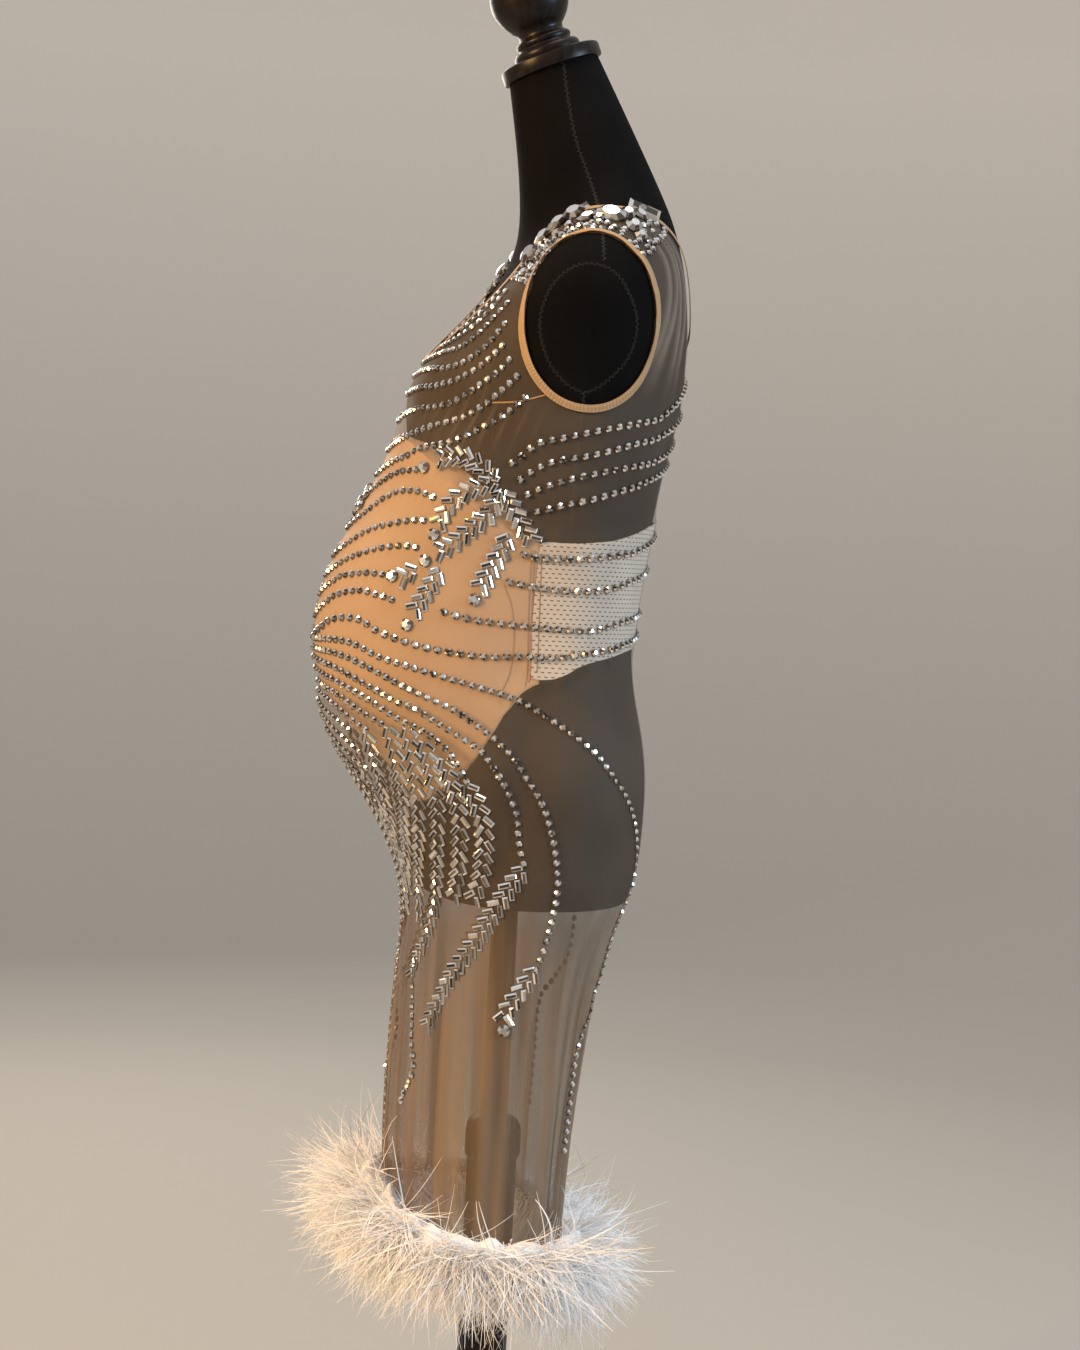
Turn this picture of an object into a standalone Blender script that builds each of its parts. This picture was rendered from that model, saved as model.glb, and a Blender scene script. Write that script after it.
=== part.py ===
"""Beaded mesh gown worn by a padded dress form on its stand.

Metres, +Z up, front towards -Y, origin on the floor under the post.
"""

import math
from collections import namedtuple

import bmesh
import bpy
import numpy as np
from mathutils import Matrix, Vector
from mathutils.bvhtree import BVHTree

MM = 0.001
UP = Vector((0, 0, 1))

# Cloth and its clearances, in millimetres
WALL = 1.2
CLEAR = 0.8  # between the cloth and the form
TRIM_LIFT = 1.1  # between the cloth and the trims laid on it, measured at the trim's points
SEAM = 0.4  # between two sewn pieces
COLUMNS = 48  # points round the body

# The gown's outer face, one row for each level from the hem to the neck, in millimetres. A ring may tilt:
# its front, side and back have their own heights. form_front and form_side say how much further in than
# the cloth the form lies there.
Ring = namedtuple(
    "Ring", "name z_front z_side z_back front side back half_width form_front form_side"
)
RINGS = [
    Ring("hem", 415, 410, 370, -94, -10, 58, 137, 0, 0),
    Ring("above_hem", 452, 448, 425, -97, -10, 60, 138, 0, 0),
    Ring("calf", 500, 498, 485, -101, -10, 62, 140, 0, 0),
    Ring("knee", 600, 600, 600, -99, -6, 76, 147, 0, 0),
    Ring("thigh", 650, 650, 650, -98, -3, 90, 152, 0, 0),
    Ring("under_form", 690, 690, 690, -97, 0, 102, 157, 0, 0),
    Ring("form_bottom", 720, 720, 720, -100, 4, 114, 162, 15, 2),
    Ring("low_hip", 750, 750, 750, -109, 6, 122, 167, 22, 1),
    Ring("hip", 790, 790, 790, -130, 8, 125, 169, 39, 2),
    Ring("high_hip", 830, 830, 830, -159, 10, 127, 166, 61, 3),
    Ring("low_belly", 870, 870, 870, -183, 12, 122, 155, 84, 3),
    Ring("belly", 910, 910, 910, -192, 12, 111, 140, 94, 3),
    Ring("waist", 950, 950, 950, -197, 12, 107, 131, 99, 3),
    Ring("high_belly", 990, 990, 990, -192, 12, 110, 129, 94, 3),
    Ring("midriff", 1030, 1030, 1030, -178, 13, 115, 129, 79, 3),
    Ring("under_bust", 1070, 1070, 1070, -158, 15, 122, 133, 56, 3),
    Ring("low_bust", 1110, 1110, 1110, -138, 17, 127, 139, 27, 3),
    Ring("bust", 1145, 1145, 1145, -125, 19, 135, 146, 9, 3),
    Ring("apex", 1176, 1176, 1176, -119, 20, 140, 150, 2, 1),
    Ring("low_armhole", 1201, 1209, 1212, -109, 21, 141, 157, 1, 1),
    Ring("armhole", 1223, 1246, 1243, -89, 23, 140, 165, 0, 0),
    Ring("high_armhole", 1246, 1279, 1270, -68, 27, 137, 168, 0, 0),
    Ring("shoulder_tip", 1268, 1308, 1296, -48, 33, 134, 156, 0, 0),
    Ring("shoulder", 1288, 1331, 1322, -34, 40, 130, 124, 0, 0),
    Ring("neck_side", 1308, 1349, 1343, -27, 47, 126, 88, 0, 0),
    Ring("neck_base", 1335, 1370, 1366, -20, 50, 118, 64, 0, 0),
    Ring("neck", 1398, 1424, 1430, -26, 31, 84, 53, 0, 0),
    Ring("neck_top", 1466, 1483, 1501, -38, 3, 45, 44, 0, 0),
]
LEVEL = {ring.name: i for i, ring in enumerate(RINGS)}

# Cups: two soft mounds in the front of the gown
CUP_HALF_SPACING = 78
CUP_HEIGHT = 1172
CUP_SPREAD = 34
CUP_DEPTH = 7

# Folds that hang from the hips: the column that each runs down, its depth and where it starts
Fold = namedtuple("Fold", "column depth top")
FOLDS = [
    Fold(1, 5, 640), Fold(4, 7, 690), Fold(7, 6, 660), Fold(10, 7.5, 690),
    Fold(13, 6, 640), Fold(16, 7, 700), Fold(19, 6.5, 680), Fold(22, 5, 620),
    Fold(25, 6, 660), Fold(28, 7, 690), Fold(31, 6, 640), Fold(34, 7.5, 700),
    Fold(38, 6, 650), Fold(41, 6.5, 690), Fold(44, 7, 670), Fold(46, 5, 600),
]
FOLD_SPREAD = 4.6  # degrees
FOLD_RAMP = 190  # a fold reaches its depth this far under its top

# Openings of the gown
ARMHOLE = {"y": 25, "z": 1244, "half_width": 59, "half_height": 77, "inside_x": 96}
NECKLINE_FRONT = [(0, 1213), (24, 1216), (45, 1231), (59, 1258), (70, 1298), (82, 1345), (86, 1420)]
NECKLINE_BACK = [(0, 1238), (22, 1241), (42, 1254), (58, 1279), (71, 1313), (82, 1345), (86, 1420)]
CUTTER_REACH = 260
CUTTER_PAST = 20
BINDING_WIDTH = 7
BINDING_THICK = 1
BINDING_STEP = 10

# Jewelled shoulders: a row of stones across and along each strap
STONES_ALONG = 9
STONES_ACROSS = 3
JEWEL_FRONT_Z = 1281
JEWEL_BACK_Z = 1330
JEWEL_ARM_FRONT = 158  # degrees round the armhole, from its back
JEWEL_ARM_BACK = 42
JEWEL_NECK_MARGIN = 5
JEWEL_ARM_MARGIN = 2
JEWEL_LIFT = 3.0  # the backing is stiff and bridges the curves of the cloth
JEWEL_BACKING = 1.0
STONE_GAP = 0.6
STONE_BEVEL = 1.6
STONE_HEIGHT = 3.2

# Belly pad and its waistband, worn on the form: (angle, height) along each edge, from the centre front
PAD_SIDE_ANGLE = 84
PAD_SEAM_ANGLE = 0.6
PAD_TOP = [(0, 1138), (25, 1130), (45, 1105), (65, 1070), (84, 1040)]
PAD_BOTTOM = [(0, 800), (25, 806), (45, 832), (65, 872), (84, 918)]
BAND_TOP = [(84, 1040), (120, 1050), (150, 1066), (180, 1072)]
BAND_BOTTOM = [(84, 918), (105, 938), (140, 950), (180, 956)]
PAD_EDGE = 0.3  # share of the pad's height over which its lower edge thins out
PAD_CLEAR = 1.0  # between the pads and the form or the gown
PAD_THIN = 3
PAD_LEAST = 1
PAD_BEYOND = 300

# Feather trim: a cord round the hem with locks of barbs standing out of it
CORD_RADIUS = 6
CORD_CLEAR = 0.7
CORD_LEVEL = 0.65  # between the rings of the hem and above it
CORD_SIDES = 8
LOCKS_ROUND = COLUMNS
Lock = namedtuple("Lock", "length droop phase")
LOCKS = {  # by the side of the cord, counted from the outermost one upwards
    1: Lock(46, 0.24, 0.0),
    0: Lock(62, 0.30, 0.37),
    7: Lock(76, 0.33, 0.61),
    6: Lock(88, 0.15, 0.83),
}
LOCK_STEPS = 2
LOCK_WIDTHS = (1.0, 0.45)
LOCK_UNEVEN = 0.14
LOCK_SHORTER_BEHIND = 0.3
GOLDEN = 0.618

# Stand and neck of the form
FORM_BOTTOM_GAP = 0.3
NECK_TILT = math.radians(22.3)
CAP_RADIUS = 47.5
CAP_THICK = 13.5
BASE_PROFILE = [(0, 0), (172, 0), (175, 3), (175, 15), (170, 20), (60, 25), (0, 25)]
POST_PROFILE = [(0, 25.3), (34, 25.3), (34, 36), (24, 44), (23.5, 60), (23.5, 462), (26.5, 466),
                (26.5, 490), (22, 500), (13, 503), (0, 503)]
POLE_RADIUS = 12.5
FINIAL_PROFILE = [(0, 0), (31, 0), (31.5, 4), (30, 9), (25, 11), (26, 15), (23, 18), (21, 23), (25, 29),
                  (33, 40), (37, 54), (35, 68), (27, 80), (14, 88), (0, 91)]

MATERIALS = {
    "mesh_cloth": ((0.78, 0.60, 0.45), 0.85, 0.0),
    "binding": ((0.80, 0.60, 0.42), 0.8, 0.0),
    "crystal": ((0.80, 0.79, 0.76), 0.1, 0.6),
    "feather": ((0.93, 0.90, 0.88), 0.9, 0.0),
    "form_cloth": ((0.02, 0.02, 0.022), 0.95, 0.0),
    "pad_cloth": ((0.80, 0.58, 0.44), 0.85, 0.0),
    "black_wood": ((0.03, 0.027, 0.025), 0.35, 0.0),
    "black_metal": ((0.05, 0.05, 0.05), 0.4, 0.8),
}


def clear_scene():
    for obj in list(bpy.data.objects):
        bpy.data.objects.remove(obj, do_unlink=True)


def material(name):
    found = bpy.data.materials.get(name)
    if found:
        return found
    colour, roughness, metallic = MATERIALS[name]
    made = bpy.data.materials.new(name)
    made.use_nodes = True
    shader = made.node_tree.nodes["Principled BSDF"]
    shader.inputs["Base Color"].default_value = (*colour, 1)
    shader.inputs["Roughness"].default_value = roughness
    shader.inputs["Metallic"].default_value = metallic
    return made


def new_object(name, bm, material_name, smooth=True):
    """An object with this mesh, whose points are in millimetres."""
    bmesh.ops.scale(bm, vec=(MM, MM, MM), verts=bm.verts)
    mesh = bpy.data.meshes.new(name)
    bm.to_mesh(mesh)
    bm.free()
    if smooth:
        mesh.shade_smooth()
        mesh.set_sharp_from_angle(angle=math.radians(40))
    mesh.materials.append(material(material_name))
    obj = bpy.data.objects.new(name, mesh)
    bpy.context.scene.collection.objects.link(obj)
    return obj


def eased(share):
    share = min(max(share, 0.0), 1.0)
    return share * share * (3 - 2 * share)


def ring_at(level):
    """The ring at a level between two rows, on a smooth curve through its neighbours."""
    low = min(int(level), len(RINGS) - 2)
    t = level - low
    rows = [RINGS[min(max(low + k, 0), len(RINGS) - 1)][1:] for k in (-1, 0, 1, 2)]
    if t == 0:
        return Ring("", *rows[1])
    p, q, r, s = (np.array(row, float) for row in rows)
    value = 0.5 * (2 * q + (r - p) * t + (2 * p - 5 * q + 4 * r - s) * t**2 + (3 * q - p - 3 * r + s) * t**3)
    return Ring("", *value)


def level_at(height):
    """The level whose side is at this height, below the armholes, where the rings lie flat."""
    return float(np.interp(height, [ring.z_side for ring in RINGS], range(len(RINGS))))


def section_point(ring, angle, power=2.15):
    """A point of a ring. Angle 0 is the centre front, 90 the left side (+X), 180 the centre back."""
    c, s = math.cos(math.radians(angle)), math.sin(math.radians(angle))
    reach, height = (ring.front, ring.z_front) if c > 0 else (ring.back, ring.z_back)
    spread, depth = abs(s) ** (2 / power), abs(c) ** (2 / power)
    return Vector((
        math.copysign(ring.half_width * spread, s),
        ring.side + (reach - ring.side) * depth,
        ring.z_side + (height - ring.z_side) * c * c,
    ))


def fold_depth(angle, height):
    """How far the hanging folds move the skirt out, in millimetres."""
    total = 0.0
    for fold in FOLDS:
        turn = (angle - fold.column * 360 / COLUMNS + 180) % 360 - 180
        ramp = eased((fold.top - height) / FOLD_RAMP)
        total += fold.depth * ramp * math.exp(-0.5 * (turn / FOLD_SPREAD) ** 2)
    return total


def cloth_point(level, angle):
    """A point of the gown's outer face."""
    point = section_point(ring_at(level), angle)
    if point.y < 0:
        side = (abs(point.x) - CUP_HALF_SPACING) / CUP_SPREAD
        rise = (point.z - CUP_HEIGHT) / CUP_SPREAD
        point.y -= CUP_DEPTH * math.exp(-0.5 * (side * side + rise * rise))
    out = Vector((point.x, point.y, 0)).normalized()
    return point + out * fold_depth(angle, point.z)


def cloth_normal(level, angle, step=0.02):
    """The gown's outward normal, from its neighbouring points."""
    top = len(RINGS) - 1
    up = cloth_point(min(level + step, top), angle) - cloth_point(max(level - step, 0), angle)
    round_body = cloth_point(level, angle + 1) - cloth_point(level, angle - 1)
    return round_body.cross(up).normalized()


def form_point(level, angle):
    """A point of the dress form, inside the cloth by its wall and clearance and by what the ring says."""
    ring = ring_at(level)
    inner = ring._replace(
        front=ring.front + ring.form_front,
        back=ring.back - ring.form_side,
        half_width=ring.half_width - ring.form_side,
    )
    shift = section_point(inner, angle) - section_point(ring, angle)
    return cloth_point(level, angle) + shift - cloth_normal(level, angle) * (WALL + CLEAR)


def grid_faces(bm, rows, closed):
    """Triangles between rows of points, every one split along the same diagonal."""
    for low, high in zip(rows, rows[1:]):
        count = len(low)
        for i in range(count if closed else count - 1):
            k = (i + 1) % count
            bm.faces.new((low[i], low[k], high[k]))
            bm.faces.new((low[i], high[k], high[i]))


def wall_mesh(outer, inner, closed=False):
    """A closed wall between two grids of points. A row goes round the body, and the next lies above it."""
    bm = bmesh.new()
    out = [[bm.verts.new(p) for p in row] for row in outer]
    back = [[bm.verts.new(p) for p in row] for row in inner]
    grid_faces(bm, out, closed)
    grid_faces(bm, back, closed)
    grid_faces(bm, [back[0], out[0]], closed)
    grid_faces(bm, [out[-1], back[-1]], closed)
    if not closed:
        grid_faces(bm, [[row[0] for row in out], [row[0] for row in back]], False)
        grid_faces(bm, [[row[-1] for row in back], [row[-1] for row in out]], False)
    bmesh.ops.recalc_face_normals(bm, faces=bm.faces)
    return bm


def panel_mesh(first_angle, last_angle, top_level):
    """Half of the gown, from seam to seam, before its neck and armholes are cut."""
    step = 360 / COLUMNS
    angles = list(np.arange(first_angle, last_angle + 0.1, step))
    outer, inner = [], []
    for level in range(top_level + 1):
        points = [cloth_point(level, a) for a in angles]
        normals = [cloth_normal(level, a) for a in angles]
        # The seam edges draw back a little from the seam line
        for edge, beside in ((0, 1), (-1, -2)):
            points[edge] = points[edge] + (points[beside] - points[edge]).normalized() * SEAM / 2
        outer.append(points)
        inner.append([p - n * WALL for p, n in zip(points, normals)])
    return wall_mesh(outer, inner)


def prism(name, outline, axis, near, far):
    """A cutter: an outline of (across, height) pairs, extruded along X or Y from near to far."""
    bm = bmesh.new()
    place = (lambda across, z: (near, across, z)) if axis == "X" else (lambda across, z: (across, near, z))
    face = bm.faces.new([bm.verts.new(place(across, z)) for across, z in outline])
    grown = bmesh.ops.extrude_face_region(bm, geom=[face])
    moved = [v for v in grown["geom"] if isinstance(v, bmesh.types.BMVert)]
    shift = (far - near, 0, 0) if axis == "X" else (0, far - near, 0)
    bmesh.ops.translate(bm, vec=shift, verts=moved)
    bmesh.ops.recalc_face_normals(bm, faces=bm.faces)
    cutter = new_object(name, bm, "black_wood", smooth=False)
    cutter.hide_render = True
    cutter.display_type = "WIRE"
    return cutter


def cut(obj, cutter, operation="DIFFERENCE"):
    modifier = obj.modifiers.new(cutter.name, "BOOLEAN")
    modifier.operation = operation
    modifier.solver = "EXACT"
    modifier.object = cutter


def armhole_outline(first=0, last=360, count=30):
    """Points of the armhole seen from the side, an oval a little fuller below, between two angles."""
    points = []
    for i in range(count):
        turn = math.radians(first + (last - first) * i / (count if last - first == 360 else count - 1))
        fuller = 1 - 0.06 * math.sin(turn)
        across = ARMHOLE["y"] + ARMHOLE["half_width"] * math.cos(turn) * fuller
        points.append((across, ARMHOLE["z"] + ARMHOLE["half_height"] * math.sin(turn)))
    return points


def smooth_outline(corners, parts=4):
    """Points on a smooth curve through a few (across, height) corners, level at the centre."""
    first = np.array((-corners[1][0], corners[1][1]), float)
    pts = [first, *(np.array(corner, float) for corner in corners)]
    pts.append(2 * pts[-1] - pts[-2])
    curve = []
    for p, q, r, s in zip(pts, pts[1:], pts[2:], pts[3:]):
        for k in range(parts):
            t = k / parts
            curve.append(0.5 * (2 * q + (r - p) * t + (2 * p - 5 * q + 4 * r - s) * t**2
                                + (3 * q - p - 3 * r + s) * t**3))
    return [tuple(point) for point in curve] + [tuple(pts[-2])]


def neckline_outline(corners):
    half = smooth_outline(corners)
    left = [(-across, z) for across, z in reversed(half[1:])]
    return left + half


def make_panels():
    """Front and back of the gown, sewn at the sides and the shoulders, with the neck and armholes cut out."""
    top = LEVEL["neck_side"]
    front = new_object("gown_front", panel_mesh(-90, 90, top), "mesh_cloth")
    back = new_object("gown_back", panel_mesh(90, 270, top), "mesh_cloth")
    for side, sign in (("left", 1), ("right", -1)):
        near, far = sign * ARMHOLE["inside_x"], sign * CUTTER_REACH
        cutter = prism(f"armhole_cutter_{side}", armhole_outline(), "X", near, far)
        cut(front, cutter)
        cut(back, cutter)
    middle = RINGS[LEVEL["neck_side"]].side
    past = middle + CUTTER_PAST
    cut(front, prism("neckline_cutter_front", neckline_outline(NECKLINE_FRONT), "Y", -CUTTER_REACH, past))
    past = middle - CUTTER_PAST
    cut(back, prism("neckline_cutter_back", neckline_outline(NECKLINE_BACK), "Y", past, CUTTER_REACH))
    return front, back


def make_form():
    """The torso and neck as one closed solid, flat underneath and at the neck."""
    bm = bmesh.new()
    levels = range(LEVEL["form_bottom"], len(RINGS))
    rows = []
    for level in levels:
        points = [form_point(level, 360 * i / COLUMNS) for i in range(COLUMNS)]
        if level == LEVEL["form_bottom"]:
            for p in points:
                p.z = RINGS[level].z_side
        if level == len(RINGS) - 1:
            points = [neck_plane_point(p) for p in points]
        rows.append([bm.verts.new(p) for p in points])
    grid_faces(bm, rows, True)
    bm.faces.new(list(reversed(rows[0])))
    bm.faces.new(rows[-1])
    bmesh.ops.recalc_face_normals(bm, faces=bm.faces)
    return new_object("form_torso", bm, "form_cloth")


def neck_axis():
    return Vector((0, -math.sin(NECK_TILT), math.cos(NECK_TILT)))


def neck_centre():
    """The middle of the neck's flat top."""
    ring = RINGS[-1]
    return Vector((0, (ring.front + ring.back) / 2, (ring.z_front + ring.z_back) / 2))


def neck_plane_point(point):
    """The point moved along the neck's axis onto its flat top."""
    away = (point - neck_centre()).dot(neck_axis())
    return point - neck_axis() * away


def turned(name, profile, material_name, steps=28, matrix=None):
    """A turned piece from a profile of (radius, height) pairs that starts and ends on its axis."""
    bm = bmesh.new()
    rows = []
    for radius, height in profile[1:-1]:
        turns = [2 * math.pi * i / steps for i in range(steps)]
        rows.append([bm.verts.new((radius * math.cos(t), radius * math.sin(t), height)) for t in turns])
    grid_faces(bm, rows, True)
    for row, (_, height) in ((rows[0], profile[0]), (rows[-1], profile[-1])):
        if abs(row[0].co.z - height) < 1e-6:
            bm.faces.new(row)
            continue
        tip = bm.verts.new((0, 0, height))
        for i in range(steps):
            bm.faces.new((row[i], row[(i + 1) % steps], tip))
    bmesh.ops.recalc_face_normals(bm, faces=bm.faces)
    if matrix:
        bmesh.ops.transform(bm, matrix=matrix, verts=bm.verts)
    return new_object(name, bm, material_name)


def make_stand():
    """Base, post, pole, neck cap and finial."""
    turned("stand_base", BASE_PROFILE, "black_wood", 36)
    turned("stand_post", POST_PROFILE, "black_wood", 24)
    post_top = POST_PROFILE[-1][1]
    pole_low = post_top + FORM_BOTTOM_GAP
    pole_high = RINGS[LEVEL["form_bottom"]].z_side - FORM_BOTTOM_GAP
    pole = [(0, pole_low), (POLE_RADIUS, pole_low), (POLE_RADIUS, pole_high), (0, pole_high)]
    turned("stand_pole", pole, "black_metal", 20)
    seat = neck_centre() + neck_axis() * FORM_BOTTOM_GAP
    tilt = Matrix.Rotation(NECK_TILT, 4, "X")
    cap = [(0, 0), (CAP_RADIUS - 1, 0), (CAP_RADIUS, 1), (CAP_RADIUS, CAP_THICK - 1.5),
           (CAP_RADIUS - 1.5, CAP_THICK), (0, CAP_THICK)]
    turned("neck_cap", cap, "black_wood", 32, Matrix.Translation(seat) @ tilt)
    seat = seat + neck_axis() * (CAP_THICK + FORM_BOTTOM_GAP)
    turned("neck_finial", FINIAL_PROFILE, "black_wood", 18, Matrix.Translation(seat) @ tilt)


def edge_height(table, angle):
    turn = abs((angle + 180) % 360 - 180)
    return float(np.interp(turn, [a for a, _ in table], [z for _, z in table]))


def pad_outline(top, bottom, angles):
    """A pad's outline seen from the front, as (across, height) corners, open towards both sides."""
    def corners(table):
        found = [(section_point(ring_at(level_at(edge_height(table, a))), a).x, edge_height(table, a))
                 for a in angles]
        beyond = math.copysign(PAD_BEYOND, found[0][0])
        return [(beyond, found[0][1]), *found, (-beyond, found[-1][1])]

    return corners(top) + list(reversed(corners(bottom)))


def make_worn_pad(name, first_angle, last_angle, rings, top, bottom, thin_edge):
    """A pad that fills the space between the form and the gown, between two of its own seams."""
    step = 360 / COLUMNS
    first, last = math.floor(first_angle / step) * step, math.ceil(last_angle / step) * step
    angles = np.arange(first, last + 1, step)
    outer, inner = [], []
    for level in range(LEVEL[rings[0]], LEVEL[rings[1]] + 1):
        out_row, in_row = [], []
        for angle in angles:
            normal = cloth_normal(level, angle)
            face = form_point(level, angle) + normal * PAD_CLEAR
            full = cloth_point(level, angle) - normal * (WALL + PAD_CLEAR)
            low, high = edge_height(bottom, angle), edge_height(top, angle)
            fill = eased((face.z - low) / ((high - low) * thin_edge)) if thin_edge else 1
            thin = min(1, PAD_THIN / max((full - face).length, PAD_LEAST))
            out_row.append(face.lerp(full, thin + (1 - thin) * fill))
            in_row.append(face)
        # The first and last columns stand between two columns of the form, on their straight chord
        for row in (out_row, in_row):
            row[0] = row[0].lerp(row[1], (first_angle - first) / step)
            row[-1] = row[-1].lerp(row[-2], (last - last_angle) / step)
        outer.append(out_row)
        inner.append(in_row)
    pad = new_object(name, wall_mesh(outer, inner), "pad_cloth")
    keep = prism(f"{name}_outline", pad_outline(top, bottom, angles[1:-1]), "Y", -PAD_BEYOND, PAD_BEYOND)
    cut(pad, keep, "INTERSECT")


def make_pads():
    """The belly pad in front and its waistband round the back, sewn together at the sides."""
    side = PAD_SIDE_ANGLE
    rings = ("low_hip", "bust")
    make_worn_pad("belly_pad", -side, side, rings, PAD_TOP, PAD_BOTTOM, PAD_EDGE)
    start = side + PAD_SEAM_ANGLE
    rings = ("low_belly", "low_bust")
    make_worn_pad("pad_waistband", start, 360 - start, rings, BAND_TOP, BAND_BOTTOM, 0)


class Surface:
    """The gown's faceted outer face before it is cut, to lay trims on."""

    def __init__(self):
        angles = [360 * i / COLUMNS for i in range(COLUMNS)]
        top = LEVEL["neck_side"]
        points = [cloth_point(level, a) for level in range(top + 1) for a in angles]
        faces = []
        for level in range(top):
            for i in range(COLUMNS):
                k = (i + 1) % COLUMNS
                low, high = level * COLUMNS, (level + 1) * COLUMNS
                faces.append((low + i, low + k, high + k))
                faces.append((low + i, high + k, high + i))
        self.tree = BVHTree.FromPolygons(points, faces)

    def along(self, start, direction):
        """Where a ray first meets the face, or None."""
        return self.tree.ray_cast(Vector(start), Vector(direction))[0]

    def lifted(self, point, height):
        """The nearest point of the face, moved out by a height."""
        place, normal, _, _ = self.tree.find_nearest(point)
        if normal.dot(place - Vector((0, place.y * 0.4, place.z - 60))) < 0:
            normal = -normal
        return place + normal * height


def armhole_curve(surface, first=0, last=360):
    """The left armhole's edge on the cloth."""
    far = RINGS[LEVEL["armhole"]].half_width * 2
    outline = armhole_outline(first, last)
    return [surface.along((far, across, z), (-1, 0, 0)) for across, z in outline]


def from_armhole(point):
    """The direction from the middle of the armhole to a point, seen from the side."""
    return Vector((0, point.y - ARMHOLE["y"], point.z - ARMHOLE["z"]))


def neckline_half(surface, corners, toward):
    """The left half of the neckline, from the centre to the shoulder, in front (toward -1) or behind (1)."""
    top = RINGS[LEVEL["neck_side"]].z_side
    far = RINGS[LEVEL["belly"]].front * -2 * toward
    outline = [(across, z) for across, z in smooth_outline(corners, 8) if z < top]
    found = [surface.along((across, far, z), (0, -toward, 0)) for across, z in outline]
    return [place for place in found if place is not None]


def lengths_along(points):
    steps = [(b - a).length for a, b in zip(points, points[1:])]
    return np.concatenate([[0], np.cumsum(steps)])


def points_at(points, places):
    """The points of a line at these distances from its start."""
    lengths = lengths_along(points)
    return [Vector([np.interp(s, lengths, [p[k] for p in points]) for k in range(3)]) for s in places]


def resample(points, count):
    """This many points at even steps along a line, its ends included."""
    return points_at(points, np.linspace(0, lengths_along(points)[-1], count))


def resample_loop(points, step):
    """Points about this far apart round a closed line."""
    loop = [*points, points[0]]
    whole = lengths_along(loop)[-1]
    count = round(whole / step)
    return points_at(loop, np.arange(count) * whole / count)


def edge_strip(name, surface, edge, inward_of):
    """A binding laid along a closed edge. inward_of gives the direction from a point into the cloth."""
    points = resample_loop(edge, BINDING_STEP)
    low, high, low_in, high_in = [], [], [], []
    for i, point in enumerate(points):
        along = (points[(i + 1) % len(points)] - points[i - 1]).normalized()
        into = inward_of(point)
        into = (into - along * into.dot(along)).normalized()
        beside = point + into * BINDING_WIDTH
        low.append(surface.lifted(point, TRIM_LIFT))
        high.append(surface.lifted(point, TRIM_LIFT + BINDING_THICK))
        low_in.append(surface.lifted(beside, TRIM_LIFT))
        high_in.append(surface.lifted(beside, TRIM_LIFT + BINDING_THICK))
    bm = bmesh.new()
    rows = [[bm.verts.new(p) for p in row] for row in (low, high, high_in, low_in)]
    grid_faces(bm, [*rows, rows[0]], True)
    bmesh.ops.recalc_face_normals(bm, faces=bm.faces)
    return new_object(name, bm, "binding")


def neckline_edge(surface):
    """The whole neckline as one loop: left front, left back, right back, right front."""
    front = neckline_half(surface, NECKLINE_FRONT, -1)
    back = neckline_half(surface, NECKLINE_BACK, 1)
    left = front + list(reversed(back))
    right = [Vector((-p.x, p.y, p.z)) for p in reversed(left[1:-1])]
    return left + right


def make_bindings(surface):
    """Bands round the armholes and the neckline."""
    for side, sign in (("left", 1), ("right", -1)):
        edge = [p * Vector((sign, 1, 1)) for p in armhole_curve(surface)]
        edge_strip(f"armhole_binding_{side}", surface, edge, from_armhole)
    base = RINGS[LEVEL["neck_base"]]
    hub = Vector((0, base.side, base.z_side))
    edge_strip("neckline_binding", surface, neckline_edge(surface), lambda p: p - hub)


def jewel_edges(surface, sign):
    """The long edges of a jewelled shoulder, from front to back: one by the neck and one by the armhole."""
    margin = BINDING_WIDTH + JEWEL_NECK_MARGIN
    front = [p for p in neckline_half(surface, NECKLINE_FRONT, -1) if p.z > JEWEL_FRONT_Z]
    back = [p for p in neckline_half(surface, NECKLINE_BACK, 1) if p.z > JEWEL_BACK_Z]
    neck = [surface.lifted(p + Vector((margin, 0, 0)), 0) for p in front + list(reversed(back))]
    arm = []
    for p in armhole_curve(surface, JEWEL_ARM_FRONT, JEWEL_ARM_BACK):
        away = from_armhole(p).normalized() * (BINDING_WIDTH + JEWEL_ARM_MARGIN)
        arm.append(surface.lifted(p + away, 0))
    mirror = Vector((sign, 1, 1))
    return [p * mirror for p in neck], [p * mirror for p in arm]


def make_jewelled_shoulder(surface, side, sign):
    """A backing strip on the strap, with a bevelled stone standing on each of its fields."""
    neck, arm = (resample(edge, STONES_ALONG + 1) for edge in jewel_edges(surface, sign))
    bm = bmesh.new()
    outer, inner = [], []
    for a, b in zip(neck, arm):
        row = [a.lerp(b, k / STONES_ACROSS) for k in range(STONES_ACROSS + 1)]
        outer.append([bm.verts.new(surface.lifted(p, JEWEL_LIFT + JEWEL_BACKING)) for p in row])
        inner.append([bm.verts.new(surface.lifted(p, JEWEL_LIFT)) for p in row])
    fields = []
    for low, high in zip(outer, outer[1:]):
        for k in range(STONES_ACROSS):
            fields.append(bm.faces.new((low[k], low[k + 1], high[k + 1], high[k])))
    grid_faces(bm, inner, False)
    grid_faces(bm, [inner[0], outer[0]], False)
    grid_faces(bm, [outer[-1], inner[-1]], False)
    for k in (0, -1):
        grid_faces(bm, [[row[k] for row in outer], [row[k] for row in inner]], False)
    bmesh.ops.recalc_face_normals(bm, faces=bm.faces)
    bmesh.ops.inset_individual(bm, faces=fields, thickness=STONE_GAP, depth=0)
    bmesh.ops.inset_individual(bm, faces=fields, thickness=STONE_BEVEL, depth=STONE_HEIGHT)
    return new_object(f"jewelled_shoulder_{side}", bm, "crystal", smooth=False)


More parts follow.
